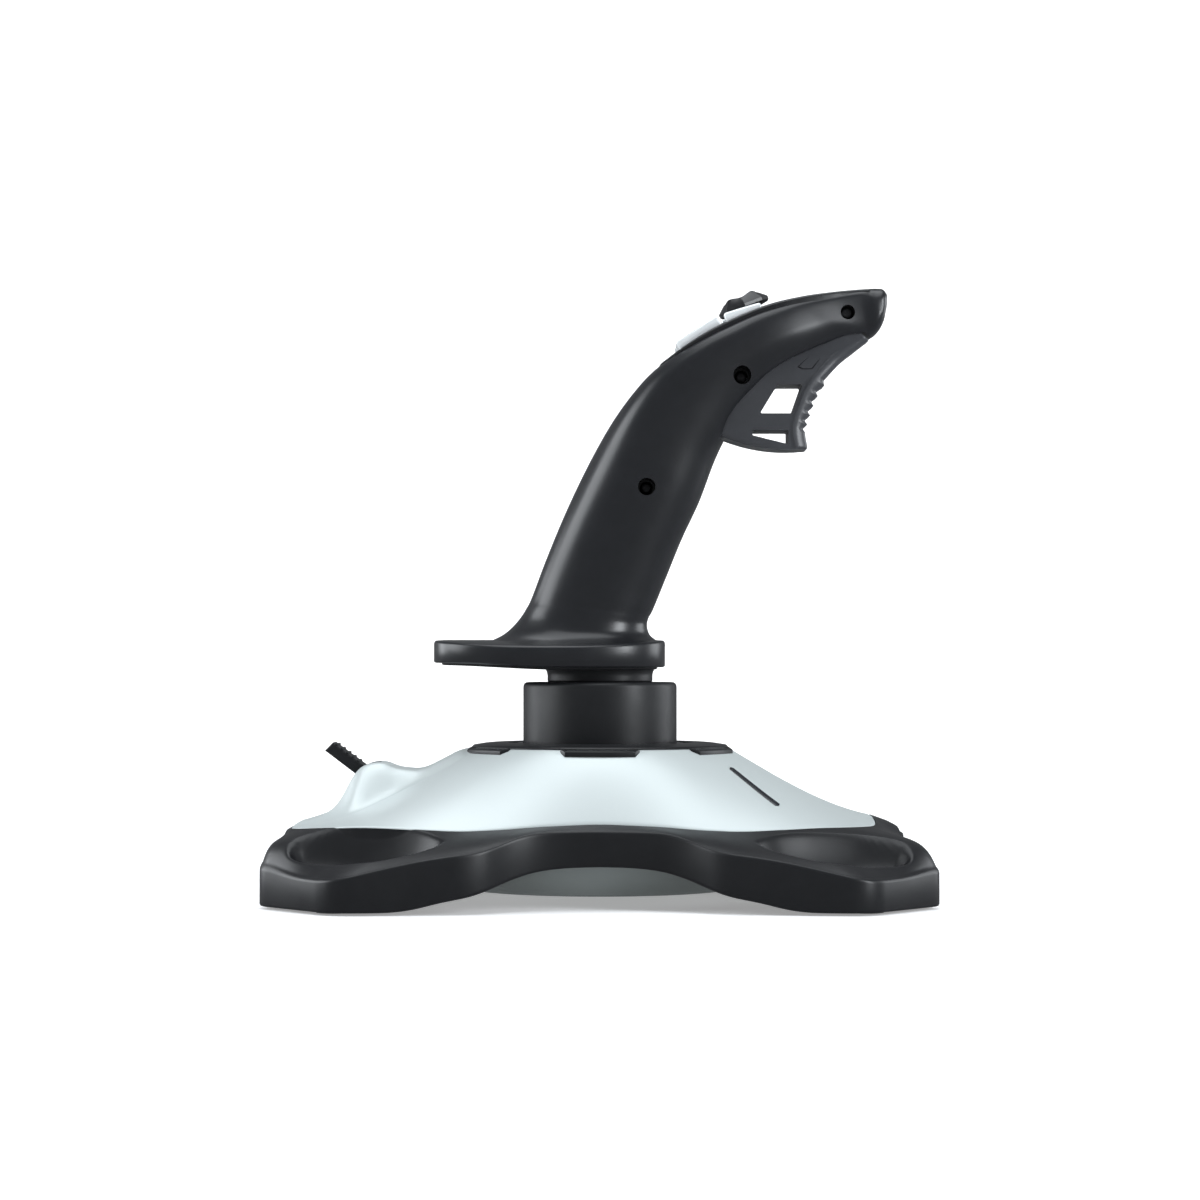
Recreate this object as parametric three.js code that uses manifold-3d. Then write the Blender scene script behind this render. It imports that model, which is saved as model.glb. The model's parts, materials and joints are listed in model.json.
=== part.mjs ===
// Twist-handle flight joystick: a four-lobed desk base with a silver dome, a two-axis sprung gimbal,
// a collar, and a forward-leaning grip with trigger, hat, top buttons, thumb button and hand rest.
// Units are millimetres. +Z is up, +Y is forward (away from the user), +X is to the user's right.
// The origin is the middle of the base on the table.
import * as THREE from "three";
import { mergeVertices } from "three/addons/utils/BufferGeometryUtils.js";
import Module from "manifold-3d";

const wasm = await Module();
wasm.setup();

// ---------------------------------------------------------------- driving dimensions
const GAP = 0.3; // clearance between touching pieces
const WALL = 2.4; // moulded wall thickness

const FOOT_HEIGHT = 1.0; // how far the rubber feet lift the base
const RIM_TOP = 12; // height of the black frame's outer wall at the lobes
const END_ARCH = { lift: 15, front: 16.3, rear: 14.8 }; // rise of underside and rim at the two ends
const CROWN_Z = 58; // height of the dome's flat top land
const CROWN_R = 49; // radius of that land
const SHOULDER = 0.6; // slope of the dome where it leaves the land
const FRONT_WALL = 113.5; // where the frame's front wall stands

const PIVOT_Z = 52; // gimbal centre, where both tilt axes cross

const BEZEL = { r: 49.3, hole: 35.5, top: 60, tabs: 6, tabHalf: 15.5, tabR: 52.8, tabZ: 55 };
const COLLAR = { r: 29.5, bottom: 57.5, top: 83, wall: 2.5 };
const TOWER = { r: 25, bore: 20, top: 58, floor: 9, flange: 29 };
const RING = { r: 17, bore: 12, half: 5, pin: 3 };
const CORE = { r: 9, half: 6, stem: 4, stemEnd: 28 };
const SHAFT = { r: 5, from: 50.3, to: 106, tip: 3, tipTo: 111 };
const PLATE = { y: -19.4, halfY: 44.4, halfX: 31, bottom: 89, rim: 97, crown: 2, power: 2.4 };

const THROTTLE = {
  y: -80, z: 40.8, restDeg: 36.6, swingDeg: 22, reach: 29.7, drum: 10.4, half: 9.5, thick: 4.6,
};
const MOUND = { flat: 13.5, half: 33 }; // the throttle's hump, level to flat and gone at half

const CABLE = { r: 3.3, z: 22 }; // soft gland in the front wall, where the cable leaves
const PAN = { top: 17, bottom: 4, rTop: 60, rBottom: 52 };

// ---------------------------------------------------------------- materials
const material = (color, roughness, metalness = 0) =>
  new THREE.MeshStandardMaterial({ color, roughness, metalness });
const silver = material(0xccd6d6, 0.35, 0.5);
const panSilver = material(0x8d9998, 0.5, 0.4);
const black = material(0x26272a, 0.4);
const softBlack = material(0x232427, 0.6);
const buttonSilver = material(0xd9dee0, 0.3, 0.4);
const darkGrey = material(0x3a3c40, 0.5);
const rubber = material(0x1b1b1c, 0.9);
const steel = material(0xb4b6b8, 0.3, 1);
const whitePlastic = material(0xd8d6cc, 0.5);
const board = material(0x1f5a36, 0.5);
const chip = material(0x18181a, 0.45);

// ---------------------------------------------------------------- solids
const model = new THREE.Group();

// A closed three.js geometry as a solid that can be joined and cut; faces are turned outwards.
function solid(geometry) {
  const source = geometry.index ? geometry.toNonIndexed() : geometry;
  const bare = new THREE.BufferGeometry().setAttribute("position", source.getAttribute("position"));
  const merged = mergeVertices(bare, 1e-4);
  const triVerts = new Uint32Array(merged.index.array);
  const build = () =>
    new wasm.Manifold(
      new wasm.Mesh({ numProp: 3, vertProperties: merged.attributes.position.array, triVerts }),
    );
  const made = build();
  if (made.volume() > 0) return made;
  for (let i = 0; i < triVerts.length; i += 3) {
    [triVerts[i + 1], triVerts[i + 2]] = [triVerts[i + 2], triVerts[i + 1]];
  }
  return build();
}

function geometryOf(made) {
  const mesh = made.getMesh();
  const geometry = new THREE.BufferGeometry();
  geometry.setAttribute("position", new THREE.BufferAttribute(new Float32Array(mesh.vertProperties), 3));
  geometry.setIndex(new THREE.BufferAttribute(new Uint32Array(mesh.triVerts), 1));
  geometry.computeVertexNormals();
  return geometry;
}

function add(name, made, finish, parent = model) {
  const mesh = new THREE.Mesh(geometryOf(made), finish);
  mesh.name = name;
  parent.add(mesh);
  return mesh;
}

const union = (...parts) => parts.reduce((whole, part) => whole.add(part));
const cut = (whole, ...parts) => parts.reduce((left, part) => left.subtract(part), whole);

// A box between two corners.
function block([x0, y0, z0], [x1, y1, z1]) {
  const geometry = new THREE.BoxGeometry(x1 - x0, y1 - y0, z1 - z0);
  return solid(geometry.translate((x0 + x1) / 2, (y0 + y1) / 2, (z0 + z1) / 2));
}

// A rod along axis "x", "y" or "z" through [x, y, z], from and to along that axis.
function rod(axis, r, from, to, [x, y, z] = [0, 0, 0], sides = 20) {
  const geometry = new THREE.CylinderGeometry(r, r, to - from, sides).translate(0, (from + to) / 2, 0);
  if (axis === "z") geometry.rotateX(Math.PI / 2);
  if (axis === "x") geometry.rotateZ(-Math.PI / 2);
  return solid(geometry.translate(x, y, z));
}

// A profile of [radius, height] points turned about Z.
function turned(profile, sides = 40) {
  const points = profile.map(([r, z]) => new THREE.Vector2(r, z));
  if (profile[0][0] > 0) points.push(points[0].clone());
  return solid(new THREE.LatheGeometry(points, sides).rotateX(Math.PI / 2));
}

const shapeOf = (points) => new THREE.Shape(points.map(([u, v]) => new THREE.Vector2(u, v)));
const TO_YZ = new THREE.Matrix4().makeBasis(
  new THREE.Vector3(0, 1, 0),
  new THREE.Vector3(0, 0, 1),
  new THREE.Vector3(1, 0, 0),
);

// An outline of [y, z] points extruded from x0 to x1.
function slabX(points, x0, x1) {
  const geometry = new THREE.ExtrudeGeometry(shapeOf(points), { depth: x1 - x0, bevelEnabled: false });
  return solid(geometry.translate(0, 0, x0).applyMatrix4(TO_YZ));
}

// An outline of [x, y] points extruded from z0 to z1.
function slabZ(points, z0, z1) {
  const geometry = new THREE.ExtrudeGeometry(shapeOf(points), { depth: z1 - z0, bevelEnabled: false });
  return solid(geometry.translate(0, 0, z0));
}

// Loops of equal length joined in order. A closed run is a ring-shaped body; an open run gets end caps.
function skin(loops, closed) {
  const count = loops[0].length;
  const positions = [];
  const triangle = (a, b, c) => positions.push(...a, ...b, ...c);
  const runs = closed ? loops.length : loops.length - 1;
  for (let j = 0; j < runs; j += 1) {
    const here = loops[j];
    const next = loops[(j + 1) % loops.length];
    for (let i = 0; i < count; i += 1) {
      const k = (i + 1) % count;
      triangle(here[i], here[k], next[k]);
      triangle(here[i], next[k], next[i]);
    }
  }
  if (!closed) {
    const middle = (loop) => [0, 1, 2].map((c) => loop.reduce((sum, p) => sum + p[c], 0) / count);
    const first = loops[0];
    const last = loops[loops.length - 1];
    const firstMiddle = middle(first);
    const lastMiddle = middle(last);
    for (let i = 0; i < count; i += 1) {
      const k = (i + 1) % count;
      triangle(firstMiddle, first[k], first[i]);
      triangle(lastMiddle, last[i], last[k]);
    }
  }
  const geometry = new THREE.BufferGeometry();
  geometry.setAttribute("position", new THREE.Float32BufferAttribute(positions, 3));
  return solid(geometry);
}

// A coil spring about Z, as a round wire swept along a helix.
function coil(radius, wire, z0, z1, turns) {
  class Helix extends THREE.Curve {
    getPoint(t, target = new THREE.Vector3()) {
      const angle = 2 * Math.PI * turns * t;
      return target.set(radius * Math.cos(angle), radius * Math.sin(angle), z0 + (z1 - z0) * t);
    }
  }
  const ring = [...Array(5).keys()].map((i) => {
    const angle = (i * 2 * Math.PI) / 5;
    return [wire * Math.cos(angle), wire * Math.sin(angle)];
  });
  const steps = Math.round(turns * 10);
  return solid(new THREE.ExtrudeGeometry(shapeOf(ring), { steps, extrudePath: new Helix() }));
}

// ---------------------------------------------------------------- base outlines
// Corners [x, y, fillet radius] of the right half, front to back; the left half mirrors them.
const FRAME_CORNERS = [
  [30, FRONT_WALL, 20],
  [56.5, 126.6, 7],
  [95, 97, 9],
  [89, 45.5, 8],
  [71, 23, 16],
  [71, -23, 16],
  [89, -45.5, 8],
  [95, -97, 9],
  [56.5, -126.6, 7],
  [30, -119.5, 18],
];
const SEAM_CORNERS = [
  [44, 104, 22],
  [69, 52, 25],
  [65, 0, 26],
  [69, -52, 25],
  [57, -100, 12],
  [40, -115.8, 10.5],
];

// Heights along the base as [y, z] rows: the seam between dome and frame, then the rim's top edge and
// the frame's underside, which are alike front and rear. The last is the hump's rise over the dome.
const SEAM_HEIGHTS = [
  [-116, 28.6], [-104, 29.6], [-92, 30.3], [-81, 30.3], [-66, 29.6], [-51, 28.9], [-36, 29.6],
  [-22, 30.7], [0, 31.7], [22, 30.7], [36, 29.5], [51, 28.8], [64, 29.3], [80, 29.8], [104, 29.5],
];
const EDGE_HEIGHTS = [
  [0, 28.5], [24, 28.4], [29, 27.2], [36, 24.2], [42, 21.8], [50, 21.3], [57, 20.4], [64, 19.3],
  [71, 17.9], [79, 16.1], [86, 14.4], [93, 12.8], [98, 12.2], [126, 11.7],
];
const UNDER_HEIGHTS = [
  [0, 16.1], [14, 15.7], [22, 14.8], [29, 13.3], [36, 10.7], [45, 7], [50, 5.8], [57, 4.8], [64, 3],
  [71, 1.4], [77, 1],
];
const MOUND_HEIGHTS = [
  [-118, 0.4], [-108, 1.5], [-104, 2], [-100, 4], [-98, 6.4], [-96.2, 9.5], [-94.2, 12.7],
  [-92.3, 14.9], [-88.5, 15.4], [-83, 13.7], [-77, 8.4], [-69, 3.5], [-65, 2.6], [-54, 2], [-49, 0],
];

// The height in a list of rows at one y, in straight steps, level beyond its ends.
function heightAt(rows, y) {
  const after = rows.findIndex(([at]) => at >= y);
  if (after === 0) return rows[0][1];
  if (after < 0) return rows[rows.length - 1][1];
  const [[y0, z0], [y1, z1]] = [rows[after - 1], rows[after]];
  return z0 + ((z1 - z0) * (y - y0)) / (y1 - y0);
}

// The closed loop with its corners rounded by quadratic curves that stay within the fillet length.
function roundedLoop(half, arcSteps, longestStep) {
  const corners = [...half, ...half.map(([x, y, r]) => [-x, y, r]).reverse()];
  const path = new THREE.CurvePath();
  const ends = corners.map(([x, y, r], i) => {
    const here = new THREE.Vector2(x, y);
    const before = corners[(i + corners.length - 1) % corners.length];
    const after = corners[(i + 1) % corners.length];
    const towards = ([ax, ay]) => new THREE.Vector2(ax, ay).sub(here).normalize().multiplyScalar(r);
    return [here.clone().add(towards(before)), here, here.clone().add(towards(after))];
  });
  ends.forEach(([start, corner, end], i) => {
    path.add(new THREE.QuadraticBezierCurve(start, corner, end));
    path.add(new THREE.LineCurve(end, ends[(i + 1) % ends.length][0]));
  });
  const loop = [];
  path.curves.forEach((curve) => {
    const steps = curve.isLineCurve ? Math.ceil(curve.getLength() / longestStep) : arcSteps;
    for (let i = 0; i < steps; i += 1) loop.push(curve.getPoint(i / steps));
  });
  return loop;
}

const frameLoop = roundedLoop(FRAME_CORNERS, 2, 22);
const seamLoop = roundedLoop(SEAM_CORNERS, 6, 10);
const angles = frameLoop.map((p) => Math.atan2(p.y, p.x));

// How far a closed loop lies from the centre in one direction.
function radiusAt(loop, angle) {
  const ray = new THREE.Vector2(Math.cos(angle), Math.sin(angle));
  for (let i = 0; i < loop.length; i += 1) {
    const a = loop[i];
    const b = loop[(i + 1) % loop.length];
    const crossA = ray.x * a.y - ray.y * a.x;
    const crossB = ray.x * b.y - ray.y * b.x;
    if (crossA * crossB <= 0 && crossA !== crossB && ray.dot(a) > 0) {
      return a.clone().lerp(b, crossA / (crossA - crossB)).length();
    }
  }
  throw new Error("the loop doesn't go round the centre");
}

const smooth = (t) => {
  const u = Math.min(1, Math.max(0, t));
  return u * u * (3 - 2 * u);
};

// The frame arches between each pair of lobes: at the sides by its rows, at the two ends by this.
const endArch = (x) => 1 - smooth((Math.abs(x) - 12) / 30);

function undersideHeight(x, y) {
  return Math.max(heightAt(UNDER_HEIGHTS, Math.abs(y)), FOOT_HEIGHT + END_ARCH.lift * endArch(x));
}

function rimHeight(x, y) {
  const rise = y > 0 ? END_ARCH.front : END_ARCH.rear;
  return Math.max(heightAt(EDGE_HEIGHTS, Math.abs(y)), RIM_TOP + rise * endArch(x));
}

// The seam's height in one direction; it rises again across the middle of the front.
function seamHeight(angle) {
  const seam = radiusAt(seamLoop, angle);
  const [x, y] = [seam * Math.cos(angle), seam * Math.sin(angle)];
  const frontRise = 2.4 * (1 - smooth((Math.abs(x) - 6) / 32)) * smooth((y - 70) / 25);
  return heightAt(SEAM_HEIGHTS, y) + frontRise;
}

// A point of the silver dome's outer surface, in one direction, u from the crown (0) to the seam (1).
function domePoint(angle, u) {
  const run = radiusAt(seamLoop, angle) - GAP / 2 - CROWN_R;
  const drop = CROWN_Z - seamHeight(angle);
  const start = (SHOULDER * run) / drop;
  const fall = start * u + (1 - start) * u ** 2 + 0.3 * u ** 2 * (1 - u);
  const r = CROWN_R + run * u;
  const x = r * Math.cos(angle);
  const y = r * Math.sin(angle);
  const across = (Math.abs(x) - MOUND.flat) / (MOUND.half - MOUND.flat);
  return [x, y, CROWN_Z - drop * fall + heightAt(MOUND_HEIGHTS, y) * (1 - smooth(across)) * smooth(-y)];
}

// ---------------------------------------------------------------- base shells
const tab = (i, grow) => {
  const turn = (i * 2 * Math.PI) / BEZEL.tabs;
  const { tabHalf, tabR, tabZ } = BEZEL;
  const half = tabHalf + grow;
  const made = block([46 - grow, -half, tabZ - 10 * grow], [tabR + grow, half, CROWN_Z + 1 + grow]);
  return solid(geometryOf(made).rotateZ(turn));
};
const tabs = (grow) => [...Array(BEZEL.tabs).keys()].map((i) => tab(i, grow));

const sectorAt = (angleDeg, r) => {
  const angle = THREE.MathUtils.degToRad(angleDeg);
  return [THROTTLE.y - r * Math.cos(angle), THROTTLE.z + r * Math.sin(angle)];
};

function throttleSlot() {
  const low = THROTTLE.restDeg - THROTTLE.swingDeg - 12;
  const high = THROTTLE.restDeg + THROTTLE.swingDeg + 12;
  const fan = [sectorAt(low, 6)];
  for (let i = 0; i <= 4; i += 1) fan.push(sectorAt(low + ((high - low) * i) / 4, 24));
  fan.push(sectorAt(high, 6));
  const room = THROTTLE.half + 1;
  const drum = rod("x", THROTTLE.drum + 0.8, -room, room, [0, THROTTLE.y, THROTTLE.z], 24);
  return union(slabX(fan, -room, room), drum);
}

// Where each base button stands on the dome's left slope: its centre and outward normal.
const baseButtons = [0.5, 0.8].flatMap((u) =>
  [-21, 0, 21].map((offset) => {
    const angle = Math.PI - THREE.MathUtils.degToRad(offset);
    const here = new THREE.Vector3(...domePoint(angle, u));
    const around = new THREE.Vector3(...domePoint(angle + 0.05, u)).sub(here);
    const down = new THREE.Vector3(...domePoint(angle, u + 0.05)).sub(here);
    const normal = down.cross(around).normalize();
    return { centre: here, normal };
  }),
);
const BASE_BUTTON = { length: 13, width: 7.6, proud: 1.8, deep: 5 };

// A rounded bar standing along +Z, its top proud of z = 0 and its foot below it.
function capsule(length, width, top, foot, grow = 0) {
  const half = (length - width) / 2;
  const r = width / 2 + grow;
  const outline = new THREE.Shape();
  outline.absarc(half, 0, r, -Math.PI / 2, Math.PI / 2);
  outline.absarc(-half, 0, r, Math.PI / 2, (3 * Math.PI) / 2);
  const geometry = new THREE.ExtrudeGeometry(outline, {
    depth: top + foot,
    bevelEnabled: false,
    curveSegments: 5,
  });
  return solid(geometry.translate(0, 0, -foot));
}

// The turn and place that stand a piece's +Z along a normal, with its length kept level.
function standing(centre, normal) {
  const along = new THREE.Vector3(0, 0, 1).cross(normal).normalize();
  const across = normal.clone().cross(along);
  return new THREE.Matrix4().makeBasis(along, across, normal).setPosition(centre);
}

const moved = (made, matrix) => solid(geometryOf(made).applyMatrix4(matrix));

function baseTopCover() {
  const outer = [0, 0.14, 0.3, 0.42, 0.52, 0.62, 0.68, 0.75, 1];
  const land = angles.map((a) => [44 * Math.cos(a), 44 * Math.sin(a), CROWN_Z]);
  const landUnder = land.map(([x, y, z]) => [x, y, z - WALL]);
  const loops = [
    land,
    ...outer.map((u) => angles.map((a) => domePoint(a, u))),
    ...outer.toReversed().map((u) => angles.map((a) => {
      const [x, y, z] = domePoint(a, u);
      const shrink = 1 - WALL / Math.hypot(x, y);
      return [x * shrink, y * shrink, z - (u === 1 ? 0.8 : WALL + 0.8)];
    })),
    landUnder,
  ];
  const holes = baseButtons.map(({ centre, normal }) =>
    moved(capsule(BASE_BUTTON.length, BASE_BUTTON.width, 8, 9, 0.4), standing(centre, normal)),
  );
  return cut(skin(loops, true), ...tabs(GAP), throttleSlot(), ...holes, moved(badge(GAP), badgePlace));
}

// A slim dark inlay strip in the right of the dome, running down the slope.
const BADGE = { angleDeg: 54.4, u: 0.46, length: 24, width: 3 };
const badgePlace = (() => {
  const angle = THREE.MathUtils.degToRad(BADGE.angleDeg);
  const here = new THREE.Vector3(...domePoint(angle, BADGE.u));
  const around = new THREE.Vector3(...domePoint(angle + 0.03, BADGE.u)).sub(here);
  const down = new THREE.Vector3(...domePoint(angle, BADGE.u + 0.05)).sub(here);
  const normal = down.clone().cross(around).normalize();
  const along = down.normalize();
  return new THREE.Matrix4().makeBasis(along, normal.clone().cross(along), normal).setPosition(here);
})();
function badge(grow) {
  return capsule(BADGE.length, BADGE.width, 0.4 + grow, 1.2 + grow, grow);
}

// Frame surface between the seam (t = 0) and the rim's top edge (t = 1).
function framePoint(i, t, drop = 0) {
  const seam = radiusAt(seamLoop, angles[i]) + GAP / 2;
  const rim = frameLoop[i];
  const r = seam + (rim.length() - seam) * t;
  const top = seamHeight(angles[i]);
  const edge = rimHeight(rim.x, rim.y);
  const endwards = smooth((Math.abs(rim.y / rim.x) - 1.1) / 0.9);
  const level = 0.8 - 0.42 * endwards;
  const fall = level * t + (1 - level) * t ** (4 + 4 * endwards);
  return [r * Math.cos(angles[i]), r * Math.sin(angles[i]), top - (top - edge) * fall - drop];
}

const FRAME_STEPS = [0, 0.35, 0.7, 0.9, 1];
function framePlan(i, inset, z) {
  const rim = frameLoop[i];
  const r = rim.length() - inset;
  return [r * Math.cos(angles[i]), r * Math.sin(angles[i]), z];
}

// Where the wall's inner face lies on the way from seam to rim.
function wallStart(i) {
  const seam = radiusAt(seamLoop, angles[i]) + GAP / 2;
  const rim = frameLoop[i].length();
  return (rim - WALL - seam) / (rim - seam);
}

const underside = (i) => undersideHeight(frameLoop[i].x, frameLoop[i].y);

function baseFrame() {
  const every = frameLoop.map((_, i) => i);
  const loops = [
    ...FRAME_STEPS.map((t) => every.map((i) => framePoint(i, t))),
    every.map((i) => framePlan(i, 0, underside(i))),
    every.map((i) => framePlan(i, WALL, underside(i))),
    ...[1, 0.5, 0].map((part) => every.map((i) => framePoint(i, part * wallStart(i), WALL))),
  ];
  const cableHole = rod("y", CABLE.r + GAP, 100, 130, [0, 0, CABLE.z], 16);
  const linings = union(...atEachLobe(hollowShape(WALL))).intersect(frameBulk());
  return cut(union(skin(loops, true), linings), ...atEachLobe(hollowShape(0)), cableHole);
}

// A finger hollow in each lobe, as rim points [x, y, z] on the sloping top, pointed inwards.
const HOLLOW_RIM = [
  [86.2, 84, 19], [83.5, 93.6, 17.8], [77.8, 101.2, 17.5], [71.7, 109, 17.8], [66.6, 113.2, 19.4],
  [62.5, 112.2, 22.9], [59, 108, 25.8], [57.6, 98, 27.7], [59.2, 87, 28.3], [62.6, 75, 28.3],
  [67, 66, 27.9], [72, 60, 26.8], [76.3, 57.6, 25.5], [80.4, 60, 24.1], [84, 66, 22], [86, 75, 20.2],
];
const HOLLOW_FLOOR = 13;

// The hollow's own shape, grown outwards for the wall that lines it.
function hollowShape(grow) {
  const middle = new THREE.Vector2(72, 88);
  const ring = (scale, height) =>
    HOLLOW_RIM.map(([x, y, z]) => {
      const away = new THREE.Vector2(x, y).sub(middle);
      const p = away.clone().multiplyScalar(scale).addScaledVector(away.normalize(), grow).add(middle);
      return [p.x, p.y, height(z) - grow];
    }).reverse();
  const floor = HOLLOW_FLOOR;
  const shoulder = (z) => 0.42 * z + 0.58 * floor;
  return skin([
    ring(1, () => 36), ring(1, (z) => z - 1), ring(0.86, shoulder), ring(0.56, () => floor),
  ], false);
}

function atEachLobe(made) {
  return [[1, 1], [-1, 1], [1, -1], [-1, -1]].map(([sx, sy]) =>
    solid(geometryOf(made).scale(sx, sy, 1)),
  );
}

// Everything under the frame's outer surface, from the rim in to the seam.
function frameBulk() {
  const every = frameLoop.map((_, i) => i);
  const inward = (i) => framePlan(i, frameLoop[i].length() - radiusAt(seamLoop, angles[i]), underside(i));
  return skin([
    ...FRAME_STEPS.map((t) => every.map((i) => framePoint(i, t))),
    every.map((i) => framePlan(i, 0, underside(i))),
    every.map(inward),
  ], true);
}

// Black cover under the lobes, open in the middle for the silver pan.
function bottomCover() {
  const every = frameLoop.map((_, i) => i);
  const inner = PAN.rTop + GAP + 0.6;
  const round = (i, z) => [inner * Math.cos(angles[i]), inner * Math.sin(angles[i]), z];
  const outer = WALL + 2.6;
  const lowInner = FOOT_HEIGHT + 14.6;
  const loops = [
    every.map((i) => round(i, lowInner)),
    every.map((i) => framePlan(i, outer, underside(i) + 0.4)),
    every.map((i) => framePlan(i, outer, underside(i) + 2.4)),
    every.map((i) => round(i, lowInner + 2)),
  ];
  return cut(skin(loops, true), ...screwPlaces.map(([x, y]) => rod("z", 1.9, -1, 12, [x, y, 0], 12)));
}

const FOOT_PLACE = [74, 96];
const screwPlaces = [[1, 1], [-1, 1], [1, -1], [-1, -1]].map(([sx, sy]) => [sx * 62, sy * 108]);

function basePan() {
  const wall = 2.4;
  const { top, bottom, rTop, rBottom } = PAN;
  return turned([
    [0, bottom], [rBottom - 3, bottom], [rBottom, bottom + 1.6], [rTop - 2, top - 6], [rTop, top],
    [rTop - wall, top], [rTop - wall - 2, top - 5.4], [rBottom - wall, bottom + wall + 1],
    [rBottom - wall - 2, bottom + wall], [0, bottom + wall],
  ], 40);
}

function bezelRing() {
  const { r, hole, top } = BEZEL;
  const seat = CROWN_Z + GAP;
  const plate = turned([
    [hole, top - 0.6], [hole + 0.8, top], [r - 1, top], [r, top - 0.8], [r, seat], [hole + 2.2, seat],
    [hole + 2.2, 52.5], [hole, 52.5],
  ], 48);
  return union(plate, ...tabs(0));
}

function grommet() {
  const body = rod("y", CABLE.r, FRONT_WALL - 4.4, FRONT_WALL + 3, [0, 0, CABLE.z], 16);
  const flange = rod("y", CABLE.r + 0.6, FRONT_WALL - 4.3, FRONT_WALL - 2.8, [0, 0, CABLE.z], 16);
  return cut(union(body, flange), rod("y", CABLE.r - 1.3, 100, 130, [0, 0, CABLE.z], 12));
}

// ---------------------------------------------------------------- gimbal
function gimbalTower() {
  const { r, bore, top, floor, flange } = TOWER;
  const foot = PAN.bottom + 2.4 + GAP;
  const tube = turned([
    [bore, top], [r, top], [r, floor], [flange, floor], [flange, foot], [bore - 2, foot],
    [bore - 2, floor], [bore, floor],
  ], 32);
  return cut(tube, rod("x", RING.pin + 0.35, -30, 30, [0, 0, PIVOT_Z], 16));
}

function gimbalRing() {
  const { r, bore, half, pin } = RING;
  const low = PIVOT_Z - half;
  const high = PIVOT_Z + half;
  const band = turned([[bore, low], [r, low], [r, high], [bore, high]], 32);
  const centre = [0, 0, PIVOT_Z];
  const pins = [rod("x", pin, r - 2, 24.4, centre, 16), rod("x", pin, -24.4, 2 - r, centre, 16)];
  return cut(union(band, ...pins), rod("y", pin + 0.35, -r - 2, r + 2, [0, 0, PIVOT_Z], 16));
}

function gimbalCore() {
  const { r, half, stem, stemEnd } = CORE;
  const body = rod("z", r, PIVOT_Z - half, PIVOT_Z + half, [0, 0, 0], 24);
  const tail = rod("z", stem, stemEnd, PIVOT_Z - half + 1, [0, 0, 0], 16);
  const pins = rod("y", RING.pin, -RING.r + 0.4, RING.r - 0.4, [0, 0, PIVOT_Z], 16);
  return cut(union(body, tail, pins), rod("z", SHAFT.r + GAP, SHAFT.from - GAP, 70, [0, 0, 0], 20));
}

function stickShaft() {
  const { r, from, to, tip, tipTo } = SHAFT;
  return union(rod("z", r, from, to), rod("z", tip, to - 1, tipTo, [0, 0, 0], 12));
}

function collarCup() {
  const { r, bottom, top, wall } = COLLAR;
  return turned([
    [SHAFT.r + GAP, top], [r - 1.4, top], [r, top - 1.4], [r, bottom], [r - wall, bottom],
    [r - wall, top - wall], [SHAFT.r + GAP, top - wall],
  ], 44);
}

function centringPlate() {
  const bore = SHAFT.r + GAP;
  return turned([
    [bore, 66.6], [18, 66.6], [18, 68.6], [10, 68.6], [9, 71], [bore, 71],
  ], 28);
}

// ---------------------------------------------------------------- grip
// Cross-sections of the grip: back [y, z], front [y, z], half width, roundness power, and how much of
// the width is drawn in at the front, where the head narrows to the trigger.
const GRIP = [
  [[-39.5, 98.2], [22.3, 97.2], 23, 2.2, 0],
  [[-35.4, 102.4], [19.2, 101.2], 19.6, 2.2, 0],
  [[-29.8, 109], [18.6, 105.5], 18.6, 2.2, 0],
  [[-26, 116], [20.4, 110.5], 18.4, 2.3, 0],
  [[-20.4, 130.8], [24.8, 121.5], 19, 2.3, 0],
  [[-12.7, 149.2], [31.4, 137.7], 20.2, 2.3, 0],
  [[-3.8, 167.7], [38.2, 152.3], 21.2, 2.4, 0.03],
  [[5, 183.1], [44, 167.7], 22, 2.4, 0.08],
  [[13.9, 195.1], [49, 178], 22.6, 2.5, 0.14],
  [[22, 203.2], [54.9, 187.9], 23, 2.6, 0.2],
  [[33.4, 211], [62.6, 196.4], 23, 2.7, 0.26],
  [[45.4, 217.6], [72.6, 203.2], 22.4, 2.8, 0.3],
  [[59.4, 223.8], [82.6, 209.2], 20.6, 2.8, 0.3],
  [[76.4, 228.8], [93.4, 213.8], 17, 2.6, 0.24],
  [[90, 231.4], [101.2, 214.2], 13.6, 2.5, 0.12],
  [[101, 233.4], [107, 217.2], 10.6, 2.4, 0],
  [[108.4, 234], [110.6, 223.2], 7.6, 2.4, 0],
];

const signedPower = (value, power) => Math.sign(value) * Math.abs(value) ** power;

// One cross-section as a loop of points, drawn in by an inset.
function gripLoop([[by, bz], [fy, fz], halfWidth, power, nip], count, inset) {
  const loop = [];
  const depth = Math.hypot(fy - by, fz - bz) / 2;
  const reach = (depth - inset) / depth;
  for (let i = 0; i < count; i += 1) {
    const angle = (2 * Math.PI * (i + 0.5)) / count;
    const forward = signedPower(Math.sin(angle), 2 / power);
    const across = (1 - nip * smooth((forward + 0.2) / 1.1)) * signedPower(Math.cos(angle), 2 / power);
    const x = (halfWidth - inset) * across;
    const d = reach * forward;
    loop.push([x, (by + fy) / 2 + ((fy - by) / 2) * d, (bz + fz) / 2 + ((fz - bz) / 2) * d]);
  }
  return loop;
}

function superellipse(halfX, halfY, cy, power, count) {
  return [...Array(count).keys()].map((i) => {
    const angle = (2 * Math.PI * i) / count;
    const [c, s] = [Math.cos(angle), Math.sin(angle)].map((value) => signedPower(value, 2 / power));
    return [halfX * c, cy + halfY * s];
  });
}

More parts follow.
